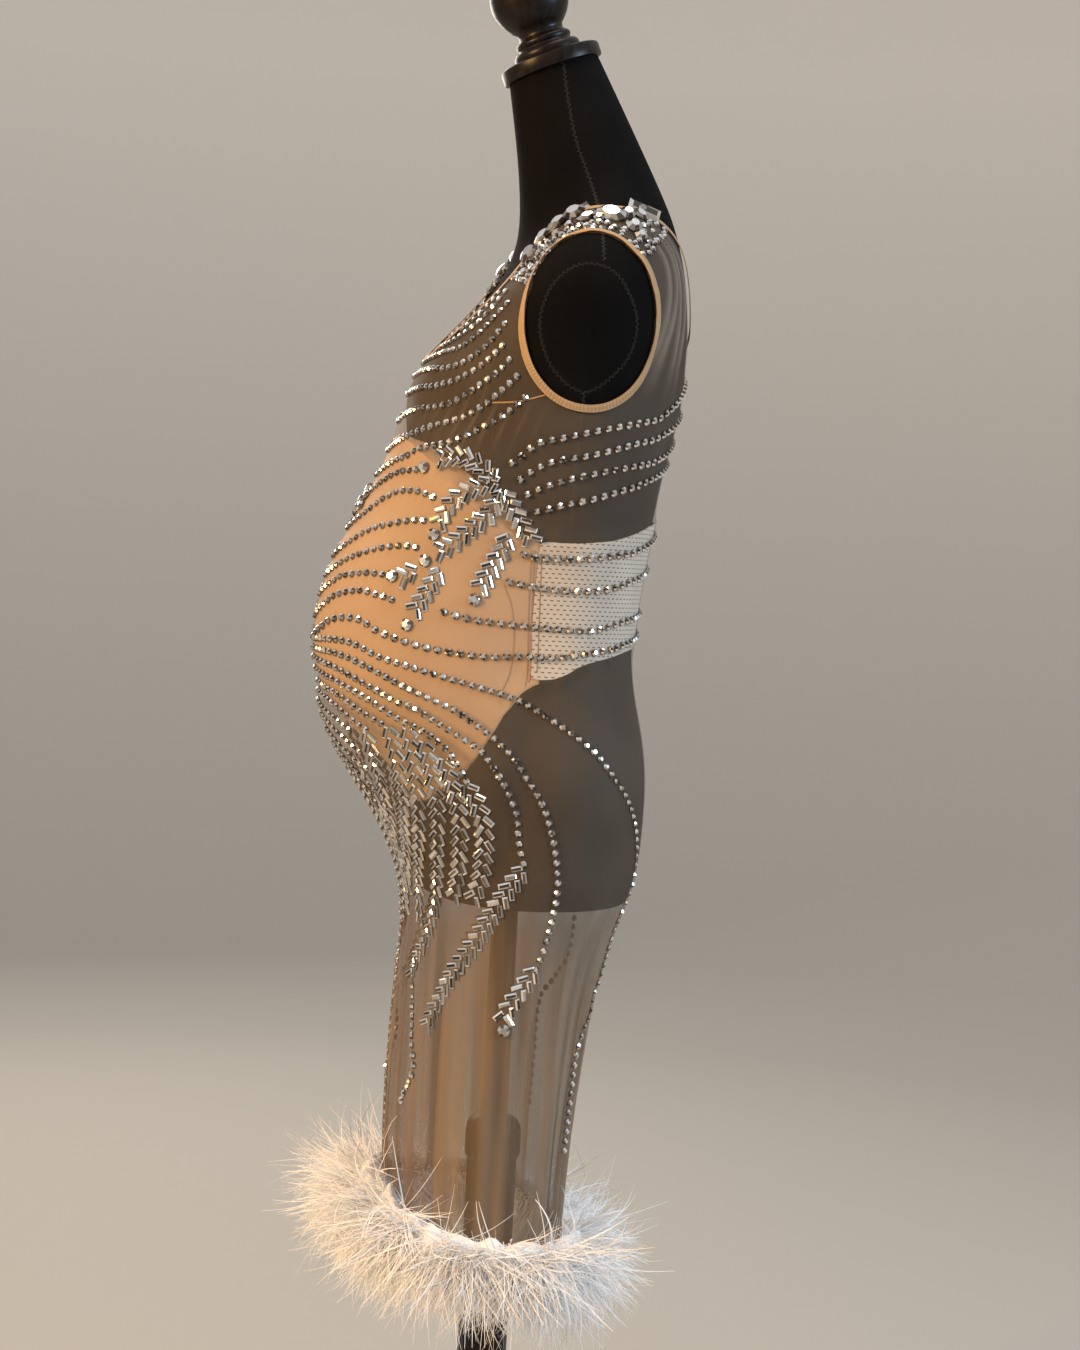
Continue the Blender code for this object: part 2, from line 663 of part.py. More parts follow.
def make_feather_trim():
    """A cord round the outside of the hem, with locks of barbs that grow out of its sides and droop."""
    bm = bmesh.new()
    rings = []
    for i in range(LOCKS_ROUND):
        angle = 360 * i / LOCKS_ROUND
        out = cloth_normal(CORD_LEVEL, angle)
        out = Vector((out.x, out.y, 0)).normalized()
        middle = cloth_point(CORD_LEVEL, angle) + out * (CORD_RADIUS + CORD_CLEAR)
        ring = []
        for k in range(CORD_SIDES):
            turn = 2 * math.pi * k / CORD_SIDES
            ring.append(bm.verts.new(middle + (out * math.cos(turn) + UP * math.sin(turn)) * CORD_RADIUS))
        rings.append(ring)
    fields = {}
    for i, ring in enumerate(rings):
        beyond = rings[(i + 1) % LOCKS_ROUND]
        for k in range(CORD_SIDES):
            n = (k + 1) % CORD_SIDES
            fields[i, k] = bm.faces.new((ring[k], beyond[k], beyond[n], ring[n]))
    bmesh.ops.recalc_face_normals(bm, faces=bm.faces)
    for (i, k), face in fields.items():
        if k in LOCKS:
            behind = (1 - math.cos(2 * math.pi * i / LOCKS_ROUND)) / 2
            grow_lock(bm, face, i, LOCKS[k], 1 - LOCK_SHORTER_BEHIND * behind)
    return new_object("feather_trim", bm, "feather", smooth=False)


def grow_lock(bm, face, i, lock, size):
    """Extrude one field of the cord in steps that droop and taper."""
    uneven = (i * GOLDEN + lock.phase) % 1
    length = lock.length * size * (1 - LOCK_UNEVEN + 2 * LOCK_UNEVEN * uneven)
    direction = face.normal.copy()
    for step in range(LOCK_STEPS):
        direction = (direction - UP * lock.droop).normalized()
        grown = bmesh.ops.extrude_discrete_faces(bm, faces=[face])
        face = grown["faces"][0]
        centre = face.calc_center_median()
        scale = LOCK_WIDTHS[step]
        for vert in face.verts:
            vert.co = centre + (vert.co - centre) * scale + direction * (length / LOCK_STEPS)


def main():
    clear_scene()
    make_panels()
    make_form()
    make_pads()
    make_stand()
    surface = Surface()
    make_bindings(surface)
    for side, sign in (("left", 1), ("right", -1)):
        make_jewelled_shoulder(surface, side, sign)
    make_feather_trim()


main()
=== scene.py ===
import math
import random
from contextlib import contextmanager

import bmesh
import bpy
import numpy as np
from mathutils import Matrix, Vector
from mathutils.bvhtree import BVHTree
from mathutils.kdtree import KDTree


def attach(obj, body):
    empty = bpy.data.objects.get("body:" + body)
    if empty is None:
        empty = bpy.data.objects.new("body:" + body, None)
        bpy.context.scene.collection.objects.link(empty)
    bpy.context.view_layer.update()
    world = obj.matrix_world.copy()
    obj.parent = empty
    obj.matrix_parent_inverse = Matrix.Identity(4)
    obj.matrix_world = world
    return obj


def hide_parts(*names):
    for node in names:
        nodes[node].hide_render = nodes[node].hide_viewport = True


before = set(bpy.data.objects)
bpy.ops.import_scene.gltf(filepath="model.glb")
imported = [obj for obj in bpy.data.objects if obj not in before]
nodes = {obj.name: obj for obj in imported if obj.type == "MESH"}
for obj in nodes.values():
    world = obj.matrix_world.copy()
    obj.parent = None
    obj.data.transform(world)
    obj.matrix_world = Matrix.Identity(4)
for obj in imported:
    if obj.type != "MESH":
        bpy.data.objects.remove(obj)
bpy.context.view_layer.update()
mm = 0.001
print("frame loaded:", len(nodes), "nodes")


# small helpers

def newObject(name, data):
    made = bpy.data.objects.new(name, data)
    bpy.context.scene.collection.objects.link(made)
    return made


def makeActive(piece):
    if bpy.context.object and bpy.context.object.mode != "OBJECT":
        bpy.ops.object.mode_set(mode="OBJECT")
    bpy.ops.object.select_all(action="DESELECT")
    piece.select_set(True)
    bpy.context.view_layer.objects.active = piece


@contextmanager
def editing(piece):
    # the whole piece is selected in edit mode, and left in object mode afterwards
    makeActive(piece)
    bpy.ops.object.mode_set(mode="EDIT")
    bpy.ops.mesh.select_all(action="SELECT")
    yield
    bpy.ops.object.mode_set(mode="OBJECT")


def readVerts(piece):
    flat = np.zeros(len(piece.data.vertices) * 3)
    piece.data.vertices.foreach_get("co", flat)
    return flat.reshape(-1, 3)


def writeVerts(piece, places):
    piece.data.vertices.foreach_set("co", np.asarray(places, float).ravel())
    piece.data.update()


def copyNodes(name, *nodeNames):
    # one merged copy of the CAD nodes, ready for editing
    parts = [newObject(name, nodes[nodeName].data.copy()) for nodeName in nodeNames]
    for part in parts:
        part.data.materials.clear()
    makeActive(parts[0])
    for part in parts[1:]:
        part.select_set(True)
    if len(parts) > 1:
        bpy.ops.object.join()
    piece = bpy.context.object
    piece.name = name
    with editing(piece):
        bpy.ops.mesh.remove_doubles(threshold=0.02 * mm)
        bpy.ops.mesh.customdata_custom_splitnormals_clear()
        bpy.ops.mesh.normals_make_consistent(inside=False)
    return piece


quadAngle, sharpAngle, shadeAngle = math.radians(60), math.radians(60), math.radians(45)


def quadsAndSmooth(piece, crease=1.0, levels=2):
    # the CAD triangles become quads, sharp edges get the crease, and the whole is subdivided
    with editing(piece):
        bpy.ops.mesh.tris_convert_to_quads(face_threshold=quadAngle, shape_threshold=quadAngle)
        if crease:
            bpy.ops.mesh.select_mode(type="EDGE")
            bpy.ops.mesh.select_all(action="DESELECT")
            bpy.ops.mesh.edges_select_sharp(sharpness=sharpAngle)
            bpy.ops.transform.edge_crease(value=crease)
    rounder = piece.modifiers.new("rounder", "SUBSURF")
    rounder.levels = rounder.render_levels = levels
    bpy.ops.object.modifier_apply(modifier="rounder")
    bpy.ops.object.shade_smooth_by_angle(angle=shadeAngle)


def meshFromArrays(name, verts, faces, smooth=False):
    mesh = bpy.data.meshes.new(name)
    mesh.from_pydata([tuple(v) for v in verts], [], [tuple(f) for f in faces])
    mesh.update()
    if smooth:
        mesh.polygons.foreach_set("use_smooth", [True] * len(mesh.polygons))
    return newObject(name, mesh)


def spun(name, outline, steps, weld, inside=False):
    # the half outline is turned about the upright axis
    mesh = bpy.data.meshes.new(name)
    mesh.from_pydata([(r, 0, h) for r, h in outline], [(i, i + 1) for i in range(len(outline) - 1)], [])
    piece = newObject(name, mesh)
    with editing(piece):
        bpy.ops.mesh.spin(steps=steps, angle=math.tau, center=(0, 0, 0), axis=(0, 0, 1))
        bpy.ops.mesh.select_all(action="SELECT")
        bpy.ops.mesh.remove_doubles(threshold=weld)
        bpy.ops.mesh.normals_make_consistent(inside=inside)
    return piece


def surfaceTree(*pieces):
    verts, faces = [], []
    for piece in pieces:
        base = len(verts)
        verts += [v.co.copy() for v in piece.data.vertices]
        faces += [tuple(base + i for i in p.vertices) for p in piece.data.polygons]
    return BVHTree.FromPolygons(verts, faces)


def settle(piece, finish, slotName, *replacedNodes):
    # the piece rides on the only body and stands for its CAD nodes
    if finish:
        piece.data.materials.append(finishes[finish])
    makeActive(piece)
    bpy.ops.object.transform_apply(location=True, rotation=True, scale=True)
    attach(piece, "root")
    if replacedNodes:
        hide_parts(*replacedNodes)
    return piece


# camera, floor and light

photo = {"focalPixels": 2447, "height": 1350, "distance": 2.30, "yaw": 9.5, "pitch": 2.7, "roll": 3.1,
         "eyeHeight": 1.03, "aim": 0.021}


def photoAxes():
    yaw, pitch, roll = (math.radians(photo[k]) for k in ("yaw", "pitch", "roll"))
    level = Vector((math.sin(yaw), math.cos(yaw), 0))
    ahead = Vector((-math.cos(yaw), math.sin(yaw), 0))
    up = Vector((0, 0, 1))
    forward = ahead * math.cos(pitch) - up * math.sin(pitch)
    upward = up * math.cos(pitch) + ahead * math.sin(pitch)
    place = ahead * -photo["distance"] + level * photo["aim"] + up * photo["eyeHeight"]
    right = level * math.cos(roll) + upward * math.sin(roll)
    top = upward * math.cos(roll) - level * math.sin(roll)
    return place, level, right, top, forward


eye, photoRight, cameraRight, cameraUp, cameraForward = photoAxes()


def makeCamera():
    data = bpy.data.cameras.new("photoCamera")
    data.sensor_fit = "VERTICAL"
    data.sensor_height = 36
    data.lens = photo["focalPixels"] / photo["height"] * data.sensor_height
    camera = newObject("photoCamera", data)
    turn = Matrix((cameraRight, cameraUp, -cameraForward)).transposed()
    camera.matrix_world = Matrix.Translation(eye) @ turn.to_4x4()
    bpy.context.scene.camera = camera


studio = {"radius": 6.5, "cove": 3.6, "coveSteps": 8, "height": 5.5, "turns": 96, "aim": (0, 0, 0.95),
          # the floor colour is darker than the wall as painted shade against the lamps' light on the floor
          "wallColour": (0.84, 0.80, 0.73), "floorPaintedShadeColour": (0.44, 0.42, 0.38),
          "skyColour": (0.90, 0.93, 1.0), "worldStrength": 0.62,
          "lamps": [  # name, place, size, watts, colour
              ("warmKey", (1.3, -2.4, 1.9), 0.8, 82, (1.0, 0.60, 0.24)),
              ("coolFill", (1.5, 2.6, 1.8), 1.0, 56, (0.58, 0.78, 1.0)),
              ("topSoft", (0.3, 0.1, 3.6), 1.2, 22, (1.0, 0.94, 0.86)),
              ("farSide", (-2.8, -0.6, 1.9), 1.3, 30, (1.0, 0.90, 0.78))]}


def makeFloor():
    # a round pale floor that curves up into the wall; its colour darkens from the wall down to the floor, painted shade
    # that evens out the lamps' stronger light on the floor
    flat, cove = studio["radius"] - studio["cove"], studio["cove"]
    outline = [(0, 0), (flat, 0)]
    for i in range(1, studio["coveSteps"] + 1):
        turn = math.pi / 2 * i / studio["coveSteps"]
        outline.append((flat + cove * math.sin(turn), cove * (1 - math.cos(turn))))
    outline.append((studio["radius"], studio["height"]))
    floor = spun("studioFloor", outline, studio["turns"], mm, inside=True)
    bpy.ops.object.shade_smooth()
    paint = Paint("floorPaint", roughness=0.85, specular=0.2)
    # painted shade: the floor part is coloured darker than the wall to offset the stronger lamp light it gets
    share = paint.maths("DIVIDE", paint.axis("Z"), studio["height"] * 0.5)
    paint.set("Base Color", paint.ramp(share, (0.0, studio["floorPaintedShadeColour"]), (1.0, studio["wallColour"])))
    floor.data.materials.append(paint.material)


def makeLight():
    bpy.context.scene.view_settings.view_transform = "Standard"
    world = bpy.data.worlds.new("studioWorld")
    bpy.context.scene.world = world
    world.use_nodes = True
    background = world.node_tree.nodes["Background"]
    background.inputs["Color"].default_value = (*studio["skyColour"], 1)
    background.inputs["Strength"].default_value = studio["worldStrength"]
    for name, place, size, watts, colour in studio["lamps"]:
        data = bpy.data.lights.new(name, "AREA")
        data.size, data.energy, data.color = size, watts, colour
        aim = (Vector(studio["aim"]) - Vector(place)).to_track_quat("-Z", "Y")
        newObject(name, data).matrix_world = Matrix.Translation(place) @ aim.to_matrix().to_4x4()


makeCamera()


# materials

class Paint:
    # a material being wired, with its shader and short ways to add nodes
    def __init__(self, name, roughness=0.5, metallic=0.0, specular=0.5):
        self.material = bpy.data.materials.new(name)
        self.material.use_nodes = True
        self.tree = self.material.node_tree
        self.shader = self.tree.nodes["Principled BSDF"]
        self.shader.inputs["Roughness"].default_value = roughness
        self.shader.inputs["Metallic"].default_value = metallic
        self.shader.inputs["Specular IOR Level"].default_value = specular
        self.coords = self.tree.nodes.new("ShaderNodeTexCoord").outputs["Object"]

    def node(self, kind, settings=None, **inputs):
        # a number after an underscore names a socket by its place
        made = self.tree.nodes.new(kind)
        for key, value in (settings or {}).items():
            setattr(made, key, value)
        for key, value in inputs.items():
            socket = made.inputs[int(key[1:])] if key[0] == "_" and key[1:].isdigit() else made.inputs[key]
            if isinstance(value, bpy.types.NodeSocket):
                self.tree.links.new(value, socket)
            else:
                socket.default_value = value
        return made

    def axis(self, name):
        return self.node("ShaderNodeSeparateXYZ", Vector=self.coords).outputs[name]

    def attribute(self, name):
        return self.node("ShaderNodeAttribute", {"attribute_name": name}).outputs["Fac"]

    def noise(self, scale, detail, stretch=(1, 1, 1)):
        mapped = self.node("ShaderNodeMapping", Vector=self.coords, Scale=stretch)
        made = self.node("ShaderNodeTexNoise", Vector=mapped.outputs[0], Scale=scale, Detail=detail)
        return made.outputs["Fac"]

    def maths(self, operation, first, second=0.0):
        return self.node("ShaderNodeMath", {"operation": operation}, _0=first, _1=second).outputs[0]

    def plus(self, first, second):
        return self.maths("ADD", first, second)

    def times(self, first, second):
        return self.maths("MULTIPLY", first, second)

    def ramp(self, value, *stops):
        made = self.node("ShaderNodeValToRGB", Fac=value)
        elements = made.color_ramp.elements
        while len(elements) < len(stops):
            elements.new(0.5)
        for element, (position, colour) in zip(elements, stops):
            element.position = position
            element.color = (*colour, 1) if len(colour) == 3 else colour
        return made.outputs[0]

    def between(self, value, low, high, fromLow=0.0, fromHigh=1.0):
        ends = {"From Min": fromLow, "From Max": fromHigh, "To Min": low, "To Max": high}
        return self.node("ShaderNodeMapRange", Value=value, **ends).outputs[0]

    def blend(self, share, first, second, way="MIX"):
        settings = {"data_type": "RGBA", "blend_type": way}
        return self.node("ShaderNodeMix", settings, _0=share, _6=first, _7=second).outputs[2]

    def bump(self, height, strength, distance):
        made = self.node("ShaderNodeBump", Height=height, Strength=strength, Distance=distance)
        self.tree.links.new(made.outputs[0], self.shader.inputs["Normal"])

    def set(self, socket, value):
        if isinstance(value, bpy.types.NodeSocket):
            self.tree.links.new(value, self.shader.inputs[socket])
        else:
            self.shader.inputs[socket].default_value = value


makeFloor()
makeLight()
print("camera and studio ready")


def knit(paint, size):
    # fine crossing ribs, size is one stitch
    bands = []
    for direction in ("DIAGONAL", "Z"):
        wave = paint.node("ShaderNodeTexWave", {"bands_direction": direction}, Vector=paint.coords,
                          Scale=0.314 / size, Distortion=0.6)
        bands.append(wave.outputs["Fac"])
    return paint.times(*bands)


meshCloth = {"light": (0.31, 0.245, 0.185), "dark": (0.21, 0.16, 0.115), "skirtLight": (0.265, 0.192, 0.128),
             "skirtDark": (0.168, 0.115, 0.073), "bodyCover": (0.26, 0.34), "skirtCover": (0.43, 0.61),
             "skirtTop": 0.722, "skirtLow": 0.700, "foldCover": 0.42, "stitch": 0.9 * mm,
             "netShare": 0.03, "hanging": (46, 46, 1.6)}


def meshMaterial():
    # sheer where it is stretched over the form, closer in the gathered skirt
    paint = Paint("nudeStretchMesh", roughness=0.62, specular=0.25)
    cloudy, net = paint.noise(9, 4), knit(paint, meshCloth["stitch"])
    hanging = paint.noise(1.0, 3, meshCloth["hanging"])
    shade = paint.plus(paint.times(cloudy, 1 - meshCloth["netShare"]), paint.times(net, meshCloth["netShare"]))
    lower = paint.between(paint.axis("Z"), 0, 1, meshCloth["skirtTop"], meshCloth["skirtLow"])
    body = paint.between(cloudy, *meshCloth["bodyCover"])
    skirt = paint.between(hanging, *meshCloth["skirtCover"], 0.3, 0.7)
    cover = paint.node("ShaderNodeMix", _0=lower, _2=body, _3=skirt).outputs[0]
    paint.set("Alpha", paint.plus(cover, paint.times(paint.attribute("fold"), meshCloth["foldCover"])))
    bodyColour = paint.ramp(shade, (0.25, meshCloth["dark"]), (0.75, meshCloth["light"]))
    skirtColour = paint.ramp(hanging, (0.34, meshCloth["skirtDark"]), (0.66, meshCloth["skirtLight"]))
    paint.set("Base Color", paint.blend(lower, bodyColour, skirtColour))
    paint.set("Sheen Weight", 0.12)
    paint.set("Sheen Roughness", 0.4)
    paint.set("Sheen Tint", (1.0, 0.86, 0.70, 1))
    paint.bump(net, 0.03, 0.1 * mm)
    return paint.material


def gathered(paint, middle, low, high, count, depth):
    # small pulls round the armhole, strongest at its bottom, for the bump and for painted shade along the gathers
    across = paint.maths("SUBTRACT", paint.axis("Y"), middle[0])
    upward = paint.maths("SUBTRACT", paint.axis("Z"), middle[1])
    turns = paint.times(paint.maths("ARCTAN2", upward, across), count)
    wave = paint.maths("SINE", paint.plus(turns, paint.times(paint.noise(70, 2), 9)))
    zone = paint.between(paint.axis("Z"), 0, 1, high, low)
    return paint.times(paint.times(wave, zone), depth)


def clothMaterial(name, light, dark, stitch, roughness, sheen, sheenTint=(1, 1, 1, 1), specular=0.3, gathers=None):
    paint = Paint(name, roughness=roughness, specular=specular)
    cloudy, net = paint.noise(14, 4), knit(paint, stitch)
    shade = paint.plus(paint.times(cloudy, 0.65), paint.times(net, 0.35))
    if gathers:
        pulls = gathered(paint, *gathers)
        # the pulls also lighten and darken the colour along each gather: painted shade of the gathers, besides their
        # bump
        shade, net = paint.plus(shade, paint.times(pulls, 0.10)), paint.plus(net, pulls)
    paint.set("Base Color", paint.ramp(shade, (0.25, dark), (0.75, light)))
    paint.set("Roughness", paint.between(cloudy, roughness - 0.08, roughness + 0.1))
    paint.set("Sheen Weight", sheen)
    paint.set("Sheen Tint", sheenTint)
    paint.bump(net, 0.35, 0.3 * mm)
    return paint.material


band = {"girth": 118, "pitch": 5.5, "row": 4.0, "long": 2.6, "high": 1.0,  # mm
        "light": (0.97, 0.89, 0.77), "dark": (0.88, 0.78, 0.66), "hole": (0.17, 0.11, 0.08)}


def bandMaterial():
    # soft nude band with staggered rows of small level slots
    paint = Paint("perforatedBand", roughness=0.7, specular=0.3)
    angle = paint.maths("ARCTAN2", paint.axis("X"), paint.axis("Y"))
    upward = paint.maths("DIVIDE", paint.axis("Z"), band["row"] * mm)
    shift = paint.times(paint.maths("FLOOR", upward), 0.5)
    across = paint.plus(paint.times(angle, band["girth"] / band["pitch"]), shift)
    reach = []
    for value, size, cell in ((across, band["long"], band["pitch"]), (upward, band["high"], band["row"])):
        fromMiddle = paint.maths("ABSOLUTE", paint.maths("SUBTRACT", paint.maths("FRACT", value), 0.5))
        reach.append(paint.maths("DIVIDE", fromMiddle, 0.5 * size / cell))
    slotShape = paint.maths("SUBTRACT", paint.maths("MAXIMUM", *reach), 0.5)
    body = paint.ramp(paint.noise(30, 3), (0.3, band["dark"]), (0.7, band["light"]))
    cut = paint.ramp(slotShape, (0.30, band["hole"]), (0.62, (1, 1, 1)))
    paint.set("Base Color", paint.blend(1.0, body, cut, "MULTIPLY"))
    paint.set("Sheen Weight", 0.2)
    paint.bump(cut, 0.6, 0.6 * mm)
    return paint.material


def woodMaterial(name, dark, light, gloss, grain=(26, 26, 4)):
    paint = Paint(name, roughness=gloss, specular=0.22)
    streaks = paint.noise(9, 6, grain)
    paint.set("Base Color", paint.ramp(streaks, (0.35, dark), (0.72, light)))
    paint.set("Roughness", paint.between(streaks, gloss - 0.06, gloss + 0.12))
    paint.set("Coat Weight", 0.06)
    paint.set("Coat Roughness", 0.25)
    paint.bump(streaks, 0.15, 0.4 * mm)
    return paint.material


def facetMaterial(name, low, high, roughness):
    # one facet's painted reflection, brighter or darker from stone to stone by a per-stone attribute
    paint = Paint(name, roughness=roughness, metallic=0.9)
    paint.set("Base Color", paint.ramp(paint.attribute("glintLevel"), (0.0, low), (1.0, high)))
    return paint.material


def featherMaterial():
    paint = Paint("ostrichFeather", roughness=0.85, specular=0.15)
    # painted shade: barbs are greyer at their roots and in the core, whiter at their tips, for the shade deep in the
    # boa
    shade = paint.plus(paint.times(paint.noise(60, 3), 0.4), paint.times(paint.attribute("tipShade"), 0.6))
    paint.set("Base Color", paint.ramp(shade, (0.10, (0.90, 0.86, 0.83)), (0.50, (1.0, 0.99, 0.98))))
    paint.set("Sheen Weight", 0.5)
    return paint.material


finishes = {
    "mesh": meshMaterial(),
    "binding": clothMaterial("bindingKnit", (0.58, 0.37, 0.18), (0.38, 0.22, 0.10), 0.8 * mm, 0.6, 0.2),
    "armBinding": clothMaterial("armholeBindingKnit", (0.58, 0.38, 0.20), (0.38, 0.23, 0.11), 0.8 * mm, 0.6, 0.2,
                                gathers=((0.025, 1.244), 1.170, 1.235, 150, 1.6)),
    "thread": clothMaterial("nudeThread", (0.80, 0.62, 0.42), (0.60, 0.42, 0.26), 0.5 * mm, 0.6, 0.2),
    "jersey": clothMaterial("blackJersey", (0.010, 0.009, 0.009), (0.003, 0.003, 0.003), 0.7 * mm, 0.9, 0.015,
                            (0.30, 0.28, 0.30, 1), specular=0.05),
    "blackThread": clothMaterial("blackThread", (0.020, 0.019, 0.019), (0.008, 0.008, 0.008), 0.4 * mm, 0.6, 0.08),
    "pad": clothMaterial("padJersey", (0.84, 0.60, 0.40), (0.70, 0.46, 0.28), 0.8 * mm, 0.7, 0.3),
    "padSeam": clothMaterial("padSeamTape", (0.58, 0.38, 0.25), (0.44, 0.27, 0.17), 0.6 * mm, 0.6, 0.2),
    "band": bandMaterial(),
    "wood": woodMaterial("blackBrownWood", (0.003, 0.002, 0.002), (0.016, 0.009, 0.006), 0.33),
    "metal": woodMaterial("blackPaintedTube", (0.006, 0.006, 0.006), (0.016, 0.015, 0.014), 0.35, (8, 8, 8)),
    # the crystals' facets carry painted reflections: a painted glint, mid and dark reflections, and the foil edge
    # painted dark
    "facetLight": facetMaterial("crystalPaintedGlintFacet", (0.86, 0.83, 0.78), (1.0, 1.0, 1.0), 0.12),
    "facetMid": facetMaterial("crystalPaintedMidReflectionFacet", (0.40, 0.37, 0.33), (0.74, 0.72, 0.69), 0.10),
    "facetDark": facetMaterial("crystalPaintedDarkReflectionFacet", (0.05, 0.045, 0.04), (0.24, 0.21, 0.18), 0.12),
    "facetEdge": facetMaterial("crystalFoilEdgePaintedDark", (0.14, 0.12, 0.09), (0.34, 0.30, 0.25), 0.25),
    "feather": featherMaterial(),
}
print("materials wired:", len(finishes))


# the gown's mesh

bodyMiddle = 0.010  # how far behind the stand's middle the body's own upright middle lies
gown = {"thickest": 2.6 * mm, "weld": 0.9 * mm,
        "foldTop": 0.715, "foldRamp": 0.16, "foldCount": 19, "foldDepth": 5.5 * mm,
        "settle": 0.8 * mm,  # the cloth lies this much closer to the form than the solid's outer face
        # mm from the middle, spread and depth of each fold behind a strap
        "strapFolds": [(92, 6, 2.2), (101, 14, 2.8), (110, 22, 2.6), (119, 26, 1.8)],
        "strapLow": 1.170, "strapHigh": 1.345, "strapWidth": (2.6, 3.0),
        # small pulls under the bust: how many, their middle height and angle, how far they reach, how deep
        "pulls": 58, "pullHeight": (1.150, 0.022), "pullAngle": (1.05, 0.35), "pullDepth": 0.5 * mm}


def outerSheet(piece):
    # keeps the faces whose wall is right behind them and that look away from the middle line
    tree = surfaceTree(piece)
    bm = bmesh.new()
    bm.from_mesh(piece.data)
    unwanted = []
    for face in bm.faces:
        centre = face.calc_center_median()
        away = Vector((centre.x, centre.y - bodyMiddle, 0))
        wall = tree.ray_cast(centre - face.normal * 1e-5, -face.normal)[3]
        if wall is None or wall >= gown["thickest"] or face.normal.dot(away) <= 0:
            unwanted.append(face)
    bmesh.ops.delete(bm, geom=unwanted, context="FACES")
    bmesh.ops.remove_doubles(bm, verts=bm.verts, dist=gown["weld"])
    bmesh.ops.delete(bm, geom=[v for v in bm.verts if not v.link_faces], context="VERTS")
    bm.to_mesh(piece.data)
    bm.free()


def eased(value):
    value = np.clip(value, 0, 1)
    return value * value * (3 - 2 * value)


def vertexNormals(piece):
    flat = np.zeros(len(piece.data.vertices) * 3)
    piece.data.vertex_normals.foreach_get("vector", flat)
    return flat.reshape(-1, 3)


def foldGown(piece):
    places, normals = readVerts(piece), vertexNormals(piece)
    x, y, z = places.T
    angle = np.arctan2(x, -(y - 0.005))
    ramp = eased((gown["foldTop"] - z) / gown["foldRamp"])
    drift = 0.35 * np.sin(z * 11 + angle * 2) + 0.25 * np.sin(z * 23 + angle * 5)
    waves = np.sin(gown["foldCount"] * angle + drift) + 0.5 * np.sin(2.3 * gown["foldCount"] * angle - drift * 2 + 1)
    push = ramp * gown["foldDepth"] * (0.45 + 0.30 * waves) - gown["settle"]
    dense = ramp * np.clip(0.5 + 0.55 * waves, 0, 1) ** 2 * 0.8
    # soft folds down the back of each strap
    run = np.abs(x) * 1000
    high = (z - gown["strapLow"]) / (gown["strapHigh"] - gown["strapLow"])
    lift = eased(high / 0.35) * eased((1 - high) / 0.2) * (y > 0.045)
    for middle, spread, depth in gown["strapFolds"]:
        centre = middle + spread * (1 - high) + 2 * np.sin(z * 40 + middle)
        narrow = gown["strapWidth"][0] + gown["strapWidth"][1] * (1 - high)
        ridge = lift * np.exp(-((run - centre) / narrow) ** 2)
        push += depth * mm * ridge
        dense = np.maximum(dense, ridge)
    # small pulls under the bust, between the rows of stones
    (height, tall), (turn, wide) = gown["pullHeight"], gown["pullAngle"]
    pull = np.clip(np.sin(angle * gown["pulls"] + 6 * np.sin(z * 30)), 0, 1) ** 3
    pull *= np.exp(-((z - height) / tall) ** 2 - ((np.abs(angle) - turn) / wide) ** 2)
    dense = np.maximum(dense, 0.5 * pull)
    push += gown["pullDepth"] * pull
    writeVerts(piece, places + normals * push[:, None])
    layer = piece.data.attributes.new("fold", "FLOAT", "POINT")
    layer.data.foreach_set("value", dense)


def makeGown():
    piece = copyNodes("gownMesh", "gown_front", "gown_back")
    outerSheet(piece)
    quadsAndSmooth(piece, crease=0, levels=3)
    with editing(piece):
        bpy.ops.mesh.normals_make_consistent(inside=False)
    foldGown(piece)
    bpy.ops.object.shade_smooth()
    return settle(piece, "mesh", "mesh_cloth", "gown_front", "gown_back")


gownPiece = makeGown()
print("gown cloth:", len(gownPiece.data.polygons), "faces")


# the form and the pad under the gown

formSwell = 0.35 * mm  # makes up for what the rounding takes off


def makeForm():
    piece = copyNodes("dressForm", "form_torso")
    quadsAndSmooth(piece)
    writeVerts(piece, readVerts(piece) + vertexNormals(piece) * formSwell)
    return settle(piece, "jersey", "form_cloth", "form_torso")


formPiece = makeForm()
formTree = surfaceTree(formPiece)


pad = {"fill": 0.7, "crease": 0.6, "bandCrease": 0.8,  # angles are in degrees from the front
       "fromAngle": 62, "seamAngle": 84, "lowRise": 25 * mm, "topFall": 13 * mm, "low": 0.889, "top": 1.057,
       "bandPastAngle": 114, "bandFall": 11 * mm, "bandLow": 0.932, "bandTop": 1.046}


def meetAtSeam(piece, fromAngle, toAngle, low, top, lowMove, topMove):
    # the upper and lower edges are eased towards the seam's own ends, sliding over the form
    places = readVerts(piece)
    angle = np.degrees(np.arctan2(np.abs(places[:, 0]), -places[:, 1]))
    weight = eased((angle - fromAngle) / (toAngle - fromAngle))
    share = np.clip((places[:, 2] - low) / (top - low), 0, 1)
    moved = places.copy()
    moved[:, 2] += weight * (lowMove * (1 - share) + topMove * share)
    for i in np.flatnonzero(weight > 0):
        away = Vector((places[i, 0], places[i, 1], 0)).normalized()
        before, after = (formTree.ray_cast(away * 0.5 + Vector((0, 0, z)), -away)[3]
                         for z in (places[i, 2], moved[i, 2]))
        if before and after:
            moved[i] += np.array(away) * (before - after)
    writeVerts(piece, moved)


